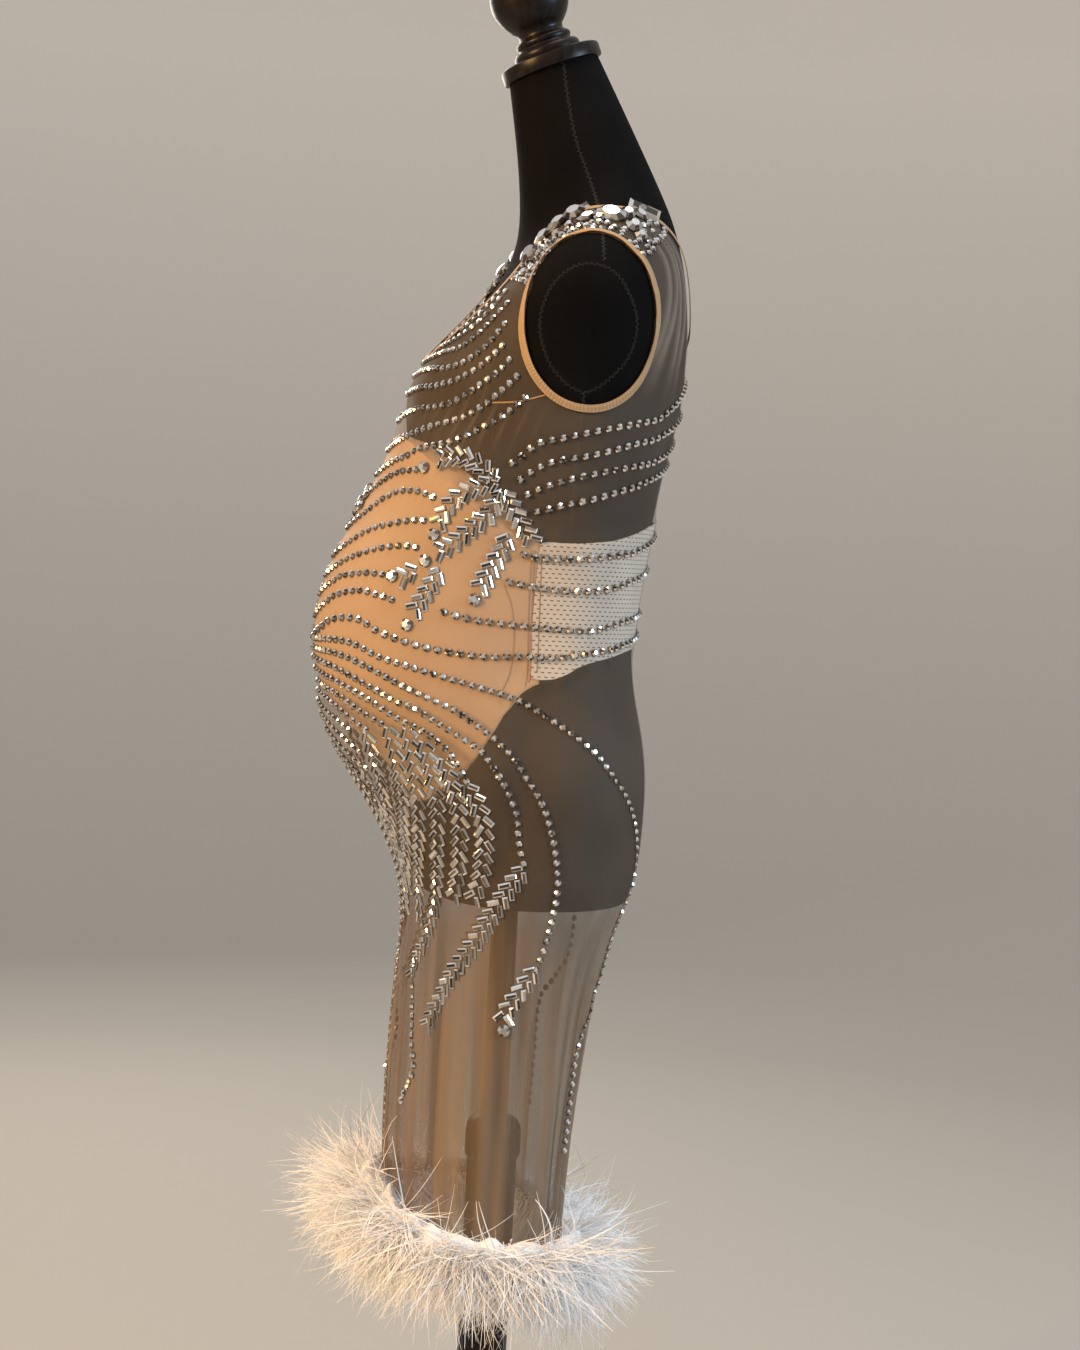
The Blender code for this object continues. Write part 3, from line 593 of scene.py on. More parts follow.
def makePad():
    front = copyNodes("bellyPad", "belly_pad")
    quadsAndSmooth(front, pad["crease"])
    meetAtSeam(front, pad["fromAngle"], pad["seamAngle"], pad["low"], pad["top"], pad["lowRise"], -pad["topFall"])
    settle(front, "pad", "pad_cloth", "belly_pad")
    waistband = copyNodes("padWaistband", "pad_waistband")
    quadsAndSmooth(waistband, pad["bandCrease"])
    meetAtSeam(waistband, pad["bandPastAngle"], pad["seamAngle"], pad["bandLow"], pad["bandTop"], -pad["bandFall"], 0)
    return front, settle(waistband, "band", "pad_cloth", "pad_waistband")


padPiece, bandPiece = makePad()
print("form and pad ready")


rest = {  # how near the cloth lies, up to what gap it is drawn in, and where it is pushed out again
    "low": 0.735, "ramp": 0.02, "clearance": 0.9 * mm, "near": 4.5 * mm, "far": 9 * mm, "rounds": 6,
    "strapLow": 1.14, "strapFront": 0.03, "strapNear": 9 * mm, "strapFar": 14 * mm,
    "padLow": 0.86, "padHigh": 1.12, "least": 0.5 * mm, "deep": 3 * mm, "mostPush": 4 * mm,
    "pushRounds": 4, "easeRounds": 5, "ease": 0.95}


def gapTo(trees, point):
    # the nearest spot of any support, and how far the point stands clear of it
    spot = min((tree.find_nearest(point) for tree in trees), key=lambda s: s[3])
    outside = (point - spot[0]).dot(spot[1]) > 0
    return spot, spot[3] if outside else -spot[3]


def meanOfNeighbours(piece, values):
    edges = np.zeros(len(piece.data.edges) * 2, int)
    piece.data.edges.foreach_get("vertices", edges)
    edges = edges.reshape(-1, 2)
    links = np.maximum(np.bincount(edges.ravel(), minlength=len(values)), 1)
    total = np.zeros_like(values)
    np.add.at(total, edges[:, 0], values[edges[:, 1]])
    np.add.at(total, edges[:, 1], values[edges[:, 0]])
    return (total.T / links).T


def layGownOn(piece, *supports):
    # the stretched cloth is drawn in to lie just over the form and the pad; returns how far each point went
    places = readVerts(piece)
    trees = [surfaceTree(support) for support in supports]
    move = np.zeros_like(places)
    for i, place in enumerate(places):
        if place[2] < rest["low"]:
            continue
        point = Vector(place)
        spot, gap = gapTo(trees, point)
        strap = place[2] > rest["strapLow"] and place[1] > rest["strapFront"]
        near, far = (rest["strapNear"], rest["strapFar"]) if strap else (rest["near"], rest["far"])
        share = 1 - eased((gap - near) / (far - near))
        share *= eased((place[2] - rest["low"]) / rest["ramp"])
        away = (point - spot[0]).normalized() if gap > 0 else spot[1]
        move[i] = np.array(away) * (rest["clearance"] - gap) * share
    for _ in range(rest["rounds"]):
        move = 0.5 * move + 0.5 * meanOfNeighbours(piece, move)
    writeVerts(piece, places + move)
    return places, move


def keepClear(piece, *supports):
    # where a support would still show through, the cloth is pushed out and its surroundings ease into the push
    places, normals = readVerts(piece), vertexNormals(piece)
    trees = [surfaceTree(support) for support in supports]
    quads = np.zeros(len(piece.data.loops), int)
    piece.data.loops.foreach_get("vertex_index", quads)
    quads = quads.reshape(-1, 4)
    height = places[quads[:, 0], 2]
    quads = quads[(height > rest["padLow"]) & (height < rest["padHigh"])]
    spots = np.array([(1, 0, 0, 0), (0.5, 0.5, 0, 0), (0.5, 0, 0, 0.5), (0.25, 0.25, 0.25, 0.25)])
    push = np.zeros(len(places))
    for _ in range(rest["pushRounds"]):
        corners = (places + normals * push[:, None])[quads]
        more = np.zeros(len(places))
        for share in spots:
            for quad, point in zip(quads, np.einsum("ncd,c->nd", corners, share)):
                gap = gapTo(trees, Vector(point))[1]
                if -rest["deep"] < gap < rest["least"]:
                    at = quad[share > 0]
                    more[at] = np.maximum(more[at], rest["clearance"] - gap)
        push = np.minimum(push + more, rest["mostPush"])
        if not more.any():
            break
    for _ in range(rest["easeRounds"]):
        push = np.maximum(push, rest["ease"] * meanOfNeighbours(piece, push))
    writeVerts(piece, places + normals * push[:, None])
    print("cloth kept clear of the pad, furthest", round(float(push.max()) * 1000, 1), "mm")
    return normals * push[:, None]


clothBefore, clothMove = layGownOn(gownPiece, formPiece, padPiece, bandPiece)
clothMove = clothMove + keepClear(gownPiece, padPiece, bandPiece)
gownTree = surfaceTree(gownPiece)


# bindings

def followCloth(piece):
    tree = KDTree(len(clothBefore))
    for i, place in enumerate(clothBefore):
        tree.insert(Vector(place), i)
    tree.balance()
    places = readVerts(piece)
    for i, place in enumerate(places):
        near = tree.find_n(Vector(place), 6)
        places[i] = place + np.mean([clothMove[index] for _, index, _ in near], axis=0)
    writeVerts(piece, places)


def makeBindings():
    made = []
    for name, finish, node in (("armholeBindingLeft", "armBinding", "armhole_binding_left"),
                               ("armholeBindingRight", "armBinding", "armhole_binding_right"),
                               ("necklineBinding", "binding", "neckline_binding")):
        piece = copyNodes(name, node)
        quadsAndSmooth(piece, crease=0.35)
        followCloth(piece)
        made.append(settle(piece, finish, "binding", node))
    return made


bindingPieces = makeBindings()
print("bindings ready")


# the stand

stand = {  # outlines as radius and height in mm
    "steps": 64, "smoothUpTo": 38,
    "base": [(0, 0), (166, 0), (171, 1), (174, 3), (175, 6), (175, 11), (174, 14), (171, 17), (165, 19), (120, 21),
             (60, 24.2), (38, 25), (0, 25)],
    "post": [(0, 25.3), (30, 25.3), (33.5, 26.5), (34, 29), (34, 33), (33, 36), (28, 39.5), (25, 43), (24, 48),
             (23.5, 60), (23.5, 455), (23.7, 462), (25.5, 464), (26.5, 468), (26.5, 486), (25.6, 493), (23, 498),
             (18, 501.6), (13, 503), (0, 503)],
    "poleRadius": 12.5, "poleLow": 503.3, "poleHigh": 719.7,
    "capRadius": 47.5, "capThick": 13.5, "tilt": 22.3, "neckCentre": (0, 3.5, 1483.5),
    "finial": [(0, 0), (28.5, 0), (31, 1.2), (31.5, 4), (31, 7), (29, 9.2), (25.6, 10.2), (24.8, 12), (26, 14),
               (26.2, 16), (25, 18), (22.4, 19.4), (21, 22), (21.6, 25.5), (25, 29), (29.2, 34), (33, 40.5),
               (36, 47.5), (37, 54), (36.6, 61.5), (35, 68), (31.8, 74.6), (27, 80.4), (21, 85.4), (14, 88.8),
               (7, 90.6), (0, 91)]}


def makeStand():
    tilt = math.radians(stand["tilt"])
    tilted = Matrix.Translation(Vector(stand["neckCentre"]) * mm) @ Matrix.Rotation(tilt, 4, "X")
    thick, radius = stand["capThick"], stand["capRadius"]
    cap = [(0, 0.3), (radius - 2, 0.3), (radius - 0.5, 0.8), (radius, 2.3), (radius, thick - 3),
           (radius - 0.6, thick - 1), (radius - 2.5, thick + 0.1), (radius - 5, thick + 0.3), (0, thick + 0.3)]
    finial = [(r, h + thick + 0.6) for r, h in stand["finial"]]
    radius = stand["poleRadius"]
    pole = [(0, stand["poleLow"]), (radius, stand["poleLow"]), (radius, stand["poleHigh"]), (0, stand["poleHigh"])]
    for name, profile, finish, slotName, node, place in (
            ("neckCap", cap, "wood", "black_wood", "neck_cap", tilted),
            ("neckFinial", finial, "wood", "black_wood", "neck_finial", tilted),
            ("standPole", pole, "metal", "black_metal", "stand_pole", Matrix.Identity(4)),
            ("standPost", stand["post"], "wood", "black_wood", "stand_post", Matrix.Identity(4)),
            ("standBase", stand["base"], "wood", "black_wood", "stand_base", Matrix.Identity(4))):
        piece = spun(name, [(r * mm, h * mm) for r, h in profile], stand["steps"], 0.01 * mm)
        piece.data.transform(place)
        bpy.ops.object.shade_smooth_by_angle(angle=math.radians(stand["smoothUpTo"]))
        settle(piece, finish, slotName, node)


makeStand()
print("stand turned")


# where a photographed place lies on the cloth

def onCloth(u, z, tree=None, strict=False):
    # u along the photo's level line and z up, on the upright plane through the stand; then along the camera's ray
    target = photoRight * (u * mm) + Vector((0, 0, z * mm))
    ray = (target - eye).normalized()
    hit = (tree or gownTree).ray_cast(eye, ray)
    if hit[0] is None and not strict:  # just past the outline, so the nearest cloth is meant
        hit = (tree or gownTree).find_nearest(target)
    return hit[0], hit[1]


def smoothLine(corners, step=2.0):
    # a smooth curve through the corners, sampled about every step
    p = [np.array(c, float) for c in corners]
    p = [2 * p[0] - p[1]] + p + [2 * p[-1] - p[-2]]
    line = []
    for a, b, c, d in zip(p, p[1:], p[2:], p[3:]):
        parts = max(2, int(np.linalg.norm(c - b) / step))
        for t in np.arange(parts) / parts:
            line.append(0.5 * (2 * b + (c - a) * t + (2 * a - 5 * b + 4 * c - d) * t * t
                               + (3 * b - a - 3 * c + d) * t ** 3))
    line.append(p[-2])
    return line


rowLine = {"sideSeam": 0.020, "fromMiddle": 0.5 * mm, "longestJump": 30 * mm, "step": 4 * mm,
           "slopeOver": 8, "steepest": 0.6, "slopeKept": 0.4}


def clothLine(corners, toMiddle=False):
    # the row as points on the cloth; toMiddle carries it on to the middle of the front or back
    points = [onCloth(u, z, strict=True)[0] for u, z in smoothLine(corners)]
    points = [p for p in points if p is not None and p.x > rowLine["fromMiddle"]]
    if len(points) < 2:
        return []
    kept = [points[0]]
    for p in points[1:]:
        if (p - kept[-1]).length < rowLine["longestJump"]:
            kept.append(p)
    if not toMiddle:
        return kept
    first, later = kept[0], kept[min(rowLine["slopeOver"], len(kept) - 1)]
    slope = (first.z - later.z) / max(4 * mm, abs(later.x - first.x))
    slope = rowLine["slopeKept"] * max(-rowLine["steepest"], min(rowLine["steepest"], slope))
    side = -1 if first.y < rowLine["sideSeam"] else 1
    steps = int(first.x / rowLine["step"])
    extra = []
    for i in range(1, steps + 1):
        x = first.x * (1 - i / steps)
        hit = gownTree.ray_cast(Vector((x, side * 1.0, first.z + slope * (first.x - x))), Vector((0, -side, 0)))
        if hit[0] and side * (hit[0].y - rowLine["sideSeam"]) > 0:
            extra.append(hit[0])
    return extra[::-1] + kept


def frontLine(corners):
    # corners are x and z in mm, laid on the cloth from straight in front
    points = []
    for x, z in smoothLine(corners):
        hit = gownTree.ray_cast(Vector((x * mm, -1.0, z * mm)), Vector((0, 1, 0)))
        if hit[0]:
            points.append(hit[0])
    return points


def spaced(points, step, start=0.0):
    # places and directions at equal steps along the line
    p = np.array([tuple(v) for v in points])
    if len(p) < 2:
        return []
    reach = np.concatenate([[0], np.cumsum(np.linalg.norm(np.diff(p, axis=0), axis=1))])
    places = np.arange(start, reach[-1] + 1e-9, step)

    def along(where):
        return np.stack([np.interp(where, reach, p[:, k]) for k in range(3)], 1)
    at, ahead = along(places), along(places + 2 * mm) - along(places - 2 * mm)
    return [(Vector(a), Vector(d).normalized()) for a, d in zip(at, ahead) if np.linalg.norm(d) > 1e-6]


# stones

stoneShapes = {  # width, height and table as shares of the length
    "round": {"sides": 8, "width": 1.0, "height": 0.42, "table": (0.50, 0.50)},
    "oval": {"sides": 10, "width": 0.64, "height": 0.30, "table": (0.55, 0.55)},
    "navette": {"sides": 8, "width": 0.50, "height": 0.26, "table": (0.50, 0.50)},
    "drop": {"sides": 10, "width": 0.68, "height": 0.30, "table": (0.50, 0.50)},
    "baguette": {"width": 0.46, "height": 0.18, "table": (0.78, 0.42)}}
girdle = 0.4  # share of a stone's height below its crown
stoneReach = 0.42  # from a stone's centre to its edge, as a share of its length
# the facets' looks are painted reflections: light (a painted glint), mid and dark, and the foil-backed sides painted
# dark as a dark reflection
lightFacet, midFacet, darkFacet, foilFacet, drawnFacet = range(5)  # a table's look is drawn for each stone
crowns = {"round": (lightFacet, darkFacet, midFacet, darkFacet, midFacet),
          "baguette": (lightFacet, midFacet, lightFacet, lightFacet)}
tableOdds = {"round": (6, 3, 1), "baguette": (1, 4, 12)}


def stoneTemplate(kind):
    # modelled once at a length of 1, lying on z = 0 along x, then copied as arrays
    shape = stoneShapes[kind]
    low = girdle * shape["height"]
    if kind == "baguette":
        bpy.ops.mesh.primitive_cube_add(size=1, location=(0, 0, low / 2))
        bpy.context.object.scale = (1, shape["width"], low)
    else:
        bpy.ops.mesh.primitive_cylinder_add(vertices=shape["sides"], radius=0.5, depth=low, location=(0, 0, low / 2))
        bpy.context.object.scale = (1, shape["width"], 1)
    stone = bpy.context.object
    bpy.ops.object.transform_apply(location=True, rotation=True, scale=True)
    bm = bmesh.new()
    bm.from_mesh(stone.data)
    for v in bm.verts:
        if kind == "navette":
            v.co.y *= max(0.0, 1 - abs(v.co.x * 2) ** 2.0 * 0.55)
        if kind == "drop":
            v.co.y *= 1 - 0.75 * max(0, v.co.x * 2) ** 1.5
    top = max(bm.faces, key=lambda f: f.calc_center_median().z)
    bmesh.ops.inset_region(bm, faces=[top], thickness=0.0)
    for v in top.verts:
        v.co = Vector((v.co.x * shape["table"][0], v.co.y * shape["table"][1], shape["height"]))
    bm.normal_update()
    verts = np.array([tuple(v.co) for v in bm.verts])
    faces = [[v.index for v in f.verts] for f in bm.faces]
    crown = crowns.get(kind, crowns["round"])
    looks, count = [], 0
    for f in bm.faces:
        if f.normal.z > 0.95:
            looks.append(drawnFacet)
        elif f.normal.z > 0.2:
            looks.append(crown[count % len(crown)])
            count += 1
        else:
            looks.append(foilFacet)
    bm.free()
    bpy.data.objects.remove(stone)
    return verts, faces, looks


templates = {kind: stoneTemplate(kind) for kind in stoneShapes}
dice = random.Random(7)


class StoneTray:
    # gathers the stones of one piece and makes them one mesh
    def __init__(self, name):
        self.name, self.verts, self.faces, self.looks, self.glintLevels = name, [], [], [], []
        self.centres, self.reaches = [], []

    def add(self, kind, place, normal, along, size, lift=0.0, tilt=0.05):
        verts, faces, looks = templates[kind]
        normal = (normal + Vector([dice.uniform(-tilt, tilt) for _ in range(3)])).normalized()
        along = (along - normal * along.dot(normal)).normalized()
        side = normal.cross(along)
        turn = np.array([along, side, normal])
        base = len(self.verts)
        put = verts * size @ turn + np.array(place + normal * lift)
        self.verts.extend(put.tolist())
        self.faces.extend([[base + i for i in f] for f in faces])
        # the table's painted reflection, light, mid or dark, drawn by the odds
        table = dice.choices((lightFacet, midFacet, darkFacet), tableOdds.get(kind, tableOdds["round"]))[0]
        self.looks.extend([table if look == drawnFacet else look for look in looks])
        self.glintLevels.extend([dice.random()] * len(faces))
        self.centres.append(np.array(place))
        self.reaches.append(stoneReach * size)

    def clear(self, place, distance, pastEdges=False):
        if not self.centres:
            return True
        apart = np.linalg.norm(np.array(self.centres) - np.array(place), axis=1)
        return np.min(apart - (np.array(self.reaches) if pastEdges else 0)) > distance

    def piece(self):
        made = meshFromArrays(self.name, self.verts, self.faces)
        # one material for each painted reflection of the facets
        for finish in ("facetLight", "facetMid", "facetDark", "facetEdge"):
            made.data.materials.append(finishes[finish])
        made.data.polygons.foreach_set("material_index", self.looks)
        layer = made.data.attributes.new("glintLevel", "FLOAT", "FACE")
        layer.data.foreach_set("value", self.glintLevels)
        print(self.name, len(self.centres), "stones,", len(self.faces), "faces")
        return made


def mirroredOnCloth(place, normal, along):
    # the same stone on the other side of the gown
    spot = gownTree.find_nearest(Vector((-place.x, place.y, place.z)))
    return spot[0], spot[1], Vector((-along.x, along.y, along.z))


def outward(place, normal):
    # the cloth's normal, looking away from the middle
    away = Vector((place.x, place.y - bodyMiddle, 0))
    return normal if normal.dot(away) > 0 else -normal


trays = {side: {"rows": StoneTray("stoneRows" + side), "sprays": StoneTray("baguetteSprays" + side),
                "shoulder": StoneTray("jewelledShoulder" + side)} for side in ("Left", "Right")}
middleWidth = 0.8 * mm  # a stone nearer to the middle than this has no twin


def layStone(tray, kind, place, along, size, lift=0.0, tilt=0.05, bare=0.0, facing=0.0):
    # facing turns a stone from the cloth's slope towards the side it is seen from
    spot = gownTree.find_nearest(place)
    place, normal = spot[0], outward(spot[0], spot[1])
    if bare and not trays["Left"][tray].clear(place, bare):
        return
    trays["Left"][tray].add(kind, place, normal + Vector((facing, 0, 0)), along, size, lift, tilt)
    if place.x > middleWidth:
        other, otherNormal, otherAlong = mirroredOnCloth(place, normal, along)
        trays["Right"][tray].add(kind, other, outward(other, otherNormal) - Vector((facing, 0, 0)), otherAlong, size,
                                 lift, tilt)


def tubeAlong(points, radius, verts, faces, sides=5):
    # a thin thread through the points, with closed ends
    if len(points) < 2:
        return
    base = len(verts)
    for i, point in enumerate(points):
        ahead = (points[min(i + 1, len(points) - 1)] - points[max(i - 1, 0)]).normalized()
        first = ahead.cross(Vector((0.31, 0.87, 0.38))).normalized()
        second = ahead.cross(first)
        for k in range(sides):
            turn = math.tau * k / sides
            verts.append(point + (first * math.cos(turn) + second * math.sin(turn)) * radius)
    for i in range(len(points) - 1):
        for k in range(sides):
            c, d = base + i * sides + k, base + i * sides + (k + 1) % sides
            faces.append((c, d, d + sides, c + sides))
    faces.append(tuple(base + k for k in range(sides))[::-1])
    faces.append(tuple(base + (len(points) - 1) * sides + k for k in range(sides)))


def threadPiece(name, lines, radius, finish, slotName):
    verts, faces = [], []
    for line in lines:
        tubeAlong(line, radius, verts, faces)
    piece = meshFromArrays(name, verts, faces, smooth=True)
    with editing(piece):
        bpy.ops.mesh.normals_make_consistent(inside=False)
    print(name, len(faces), "faces")
    settle(piece, finish, slotName)


def bothSides(line, tree):
    # the line and its mirror image, each laid on the surface
    return [line, [tree.find_nearest(Vector((-p.x, p.y, p.z)))[0] for p in line]]


def photoLine(corners, tree, step=3.0):
    return [onCloth(u, z, tree)[0] for u, z in smoothLine(corners, step)]


def zigzag(line, wide, pitch, tree):
    # a covering stitch that swings from side to side of the seam
    stitches = []
    for i, (place, along) in enumerate(spaced(line, pitch)):
        spot = tree.find_nearest(place)
        side = outward(spot[0], spot[1]).cross(along).normalized()
        stitches.append(tree.find_nearest(place + side * (wide if i % 2 else -wide))[0])
    return stitches


stitches = {"middle": (25, 1244), "radius": (59, 77), "narrowing": 0.06, "rows": (1.3, 5.4),
            "long": 1.9, "step": 3.1, "thick": 0.26}  # mm


def makeBindingStitches():
    # two rows of small stitches round each armhole, laid on the binding from the side
    lines = []
    (y, z), (wide, tall) = stitches["middle"], stitches["radius"]
    for piece, side in zip(bindingPieces[:2], (1, -1)):
        tree = surfaceTree(piece)
        for offset in stitches["rows"]:
            ring = []
            for turn in map(math.radians, range(361)):
                across = y + (wide + offset) * math.cos(turn) * (1 - stitches["narrowing"] * math.sin(turn))
                start = Vector((side * 0.5, across * mm, (z + (tall + offset) * math.sin(turn)) * mm))
                hit = tree.ray_cast(start, Vector((-side, 0, 0)))
                if hit[0]:
                    ring.append(hit[0])
            for place, along in spaced(ring, stitches["step"] * mm):
                half = along * (0.5 * stitches["long"] * mm)
                lines.append([tree.find_nearest(place + half * way)[0] for way in (-1, 0, 1)])
    threadPiece("armholeStitches", lines, stitches["thick"] * mm, "thread", "binding")


seams = {  # corners as the photo shows them, in mm; thickness of each thread and the zigzags' width and pitch in mm
    "padThread": 0.55, "formThread": 0.42, "dartThread": 0.8, "zigzags": [(2.0, 2.6), (0.9, 1.9)],
    "plate": [(48, 1187), (30, 1196), (12, 1217), (3, 1250), (11, 1283), (30, 1303), (50, 1308), (72, 1300), (88, 1276),
              (94, 1250), (86, 1220), (64, 1196), (48, 1187)],
    "neckSide": [(12, 1492), (17, 1464), (27, 1423), (38, 1396), (47, 1374), (55, 1350), (58, 1330), (60, 1309)],
    "underPlate": [(48, 1187), (46, 1150), (44, 1110), (42, 1060)],
    "pad": [[(7, 1038), (7, 1000), (8, 960), (9, 925), (8, 910)],
            [(10, 1038), (10, 1000), (11, 960), (12, 925), (11, 914)],
            [(17, 1036), (17, 1000), (18, 960), (18, 924)],
            [(-17, 1004), (-9, 985), (-5, 957), (-7, 923), (-16, 900)]],
    "dart": [(13, 1184), (0, 1180), (-15, 1176), (-37, 1174)]}


def makeSeams():
    padTree = surfaceTree(padPiece, bandPiece)
    lines = []
    for corners in seams["pad"]:
        lines += bothSides(photoLine(corners, padTree), padTree)
    threadPiece("padSeams", lines, seams["padThread"] * mm, "padSeam", "pad_cloth")
    lines = []
    for corners in (seams["plate"], seams["neckSide"], seams["underPlate"]):
        for line in bothSides(photoLine(corners, formTree), formTree):
            lines += [zigzag(line, wide * mm, pitch * mm, formTree) for wide, pitch in seams["zigzags"]]
    threadPiece("formStitching", lines, seams["formThread"] * mm, "blackThread", "form_cloth")
    lines = bothSides(photoLine(seams["dart"], gownTree), gownTree)
    threadPiece("bustDarts", lines, seams["dartThread"] * mm, "binding", "binding")


makeSeams()
makeBindingStitches()


stoneRows = {  # each row's corners as the photo shows them, in mm; step and size in mm
    "backRows": {"step": 10.4, "size": 7.2, "middle": False, "rows": [
        [(-20, 1115), (-8, 1125), (8, 1138), (30, 1144), (60, 1152), (100, 1162), (120, 1168), (135, 1185),
         (142, 1203)],
        [(-11, 1100), (5, 1113), (27, 1123), (60, 1130), (100, 1143), (120, 1150), (135, 1165), (141, 1180)],
        [(-4, 1087), (10, 1095), (30, 1103), (60, 1112), (100, 1122), (120, 1128), (130, 1140), (138, 1155)],
        [(5, 1073), (20, 1077), (40, 1083), (60, 1088), (85, 1097), (105, 1105), (120, 1115), (132, 1130)],
        [(-5, 1037), (5, 1032), (30, 1031), (60, 1033), (90, 1038), (105, 1042), (117, 1053)],
        [(-18, 1008), (10, 1004), (30, 1002), (60, 1002), (80, 1005), (100, 1013), (113, 1023)],
        [(-78, 977), (-50, 971), (-20, 968), (20, 966), (50, 965), (70, 966), (90, 973), (105, 980)],
        [(-190, 950), (-180, 962), (-165, 966), (-150, 964), (-135, 955), (-115, 948), (-90, 942), (-60, 938),
         (-30, 936), (0, 938), (30, 938), (50, 941), (70, 945), (90, 950), (103, 958)]]},
    "bellyRows": {"step": 9.0, "size": 6.6, "middle": True, "rows": [
        [(-192, 966), (-180, 983), (-165, 990), (-150, 992), (-138, 989), (-125, 986), (-115, 981)],
        [(-190, 985), (-175, 1002), (-160, 1007), (-145, 1009), (-130, 1008)],
        [(-183, 1005), (-170, 1018), (-157, 1025), (-145, 1030), (-130, 1034), (-115, 1036), (-100, 1035)],
        [(-175, 1025), (-160, 1040), (-145, 1050), (-130, 1055), (-115, 1059), (-100, 1061), (-92, 1060)],
        [(-165, 1050), (-150, 1065), (-140, 1075), (-130, 1082), (-120, 1087), (-110, 1088), (-100, 1087), (-83, 1081)],
        [(-150, 1080), (-140, 1092), (-130, 1100), (-120, 1105), (-110, 1107), (-103, 1108)],
        [(-145, 1095), (-135, 1108), (-125, 1115), (-115, 1120), (-103, 1128), (-82, 1133), (-65, 1140), (-47, 1150),
         (-30, 1160), (-15, 1173), (-2, 1185)],
        [(-135, 1120), (-125, 1130), (-108, 1142), (-90, 1150), (-72, 1156), (-57, 1163), (-42, 1174), (-20, 1195),
         (-14, 1203)],
        [(-124, 1150), (-112, 1163), (-97, 1166), (-80, 1170), (-65, 1178), (-50, 1190), (-35, 1202), (-22, 1217)],
        [(-121, 1176), (-105, 1183), (-90, 1187), (-75, 1192), (-58, 1202), (-43, 1214), (-25, 1234)],
        [(-117, 1193), (-100, 1199), (-85, 1203), (-70, 1208), (-55, 1218), (-42, 1231), (-25, 1254)],
        [(-112, 1204), (-95, 1211), (-78, 1218), (-62, 1229), (-48, 1243), (-27, 1268)],
        [(-105, 1213), (-88, 1221), (-70, 1232), (-52, 1247), (-28, 1280)],
        [(-97, 1222), (-80, 1231), (-62, 1245), (-45, 1262), (-33, 1280)],
        [(-190, 945), (-160, 943), (-130, 930), (-100, 922), (-70, 915), (-37, 907), (0, 897), (28, 883), (53, 868),
         (77, 850), (94, 830), (107, 812), (118, 785), (121, 755), (119, 735), (115, 715), (103, 690), (97, 655),
         (87, 615), (75, 570), (71, 520), (68, 470)],
        [(-187, 935), (-165, 930), (-145, 922), (-105, 903), (-83, 894), (-60, 885), (-40, 873), (-20, 860), (0, 842),
         (12, 825), (30, 798), (42, 765), (48, 730), (48, 712), (43, 680), (35, 650), (31, 642)],
        [(-186, 925), (-160, 913), (-115, 890), (-100, 886), (-75, 872), (-55, 861), (-33, 848), (-17, 830), (-5, 812),
         (2, 798), (7, 785), (8, 770), (11, 755), (15, 742)],
        [(-187, 916), (-165, 903), (-140, 890), (-112, 874), (-85, 862), (-70, 852), (-60, 843), (-46, 823),
         (-41, 814)],
        [(-187, 906), (-168, 893), (-145, 878), (-122, 866)],
        [(-185, 896), (-168, 882), (-150, 868), (-138, 861)],
        [(-183, 885), (-168, 870), (-152, 858)],
        [(-180, 874), (-165, 858), (-152, 846), (-140, 838)],
        [(-176, 862), (-162, 846), (-150, 834), (-135, 824)],
        [(-170, 850), (-156, 833), (-142, 818), (-128, 806)],
        [(-162, 838), (-148, 820), (-134, 804), (-122, 790)],
        [(-83, 625), (-82, 590), (-80, 560), (-79, 540), (-85, 520), (-92, 505)]]},
}


sizeSpread = (0.94, 1.06)
frontColumns = {"step": 8.4, "size": 6.2, "bare": 5.2, "columns": [  # x and z in mm, from the front
    [(0, 826), (0, 780), (0, 720), (0, 640), (0, 560), (0, 476)],
    [(11, 826), (10, 790), (9, 750), (9, 700)],
    [(22, 822), (19, 780), (17, 740), (15, 690)]]}
ornament = {"middle": (0, 1077), "round": 11, "petal": 13, "reach": 12.5, "petals": 6}  # mm


def makeOrnament():
    # a small flower of drops under the bust
    x, z = ornament["middle"]
    spot = frontLine([(x, z - 1), (x, z + 1)])[0]
    layStone("rows", "round", spot, Vector((0, 0, 1)), ornament["round"] * mm, lift=0.6 * mm)
    for k in range(ornament["petals"]):
        turn = math.radians(90 + 360 * k / ornament["petals"])
        along = Vector((math.cos(turn), 0, math.sin(turn)))
        if along.x > -0.01:
            where = spot + along * (ornament["reach"] * mm)
            layStone("rows", "drop", where, along, ornament["petal"] * mm, lift=0.3 * mm)


def makeColumns():
    for corners in frontColumns["columns"]:
        for place, along in spaced(frontLine(corners), frontColumns["step"] * mm):
            layStone("rows", "round", place, along, frontColumns["size"] * mm * dice.uniform(*sizeSpread),
                     bare=frontColumns["bare"] * mm)


calm = {"fewest": 12, "reach": 8, "rounds": 4, "facing": 0.48, "ramp": 0.25}


def calmed(points):
    # close to the outline the photo's ray only grazes the cloth, so the row is evened out there
    if len(points) < calm["fewest"]:
        return points
    p = np.array([tuple(v) for v in points])
    facing = np.array([abs(gownTree.find_nearest(v)[1].dot((v - eye).normalized())) for v in points])

    def mean(values):
        reach = calm["reach"]
        return np.array([values[max(0, i - reach):i + reach + 1].mean(axis=0) for i in range(len(values))])
    share = eased((calm["facing"] - mean(facing)) / calm["ramp"])[:, None]
    share[0] = share[-1] = 0
    for _ in range(calm["rounds"]):
        p = p + share * (mean(p) - p)
    return [gownTree.find_nearest(Vector(v))[0] for v in p]


rowStart = {"front": -95, "outline": -185}  # a row that begins further forward than this is carried on, in mm


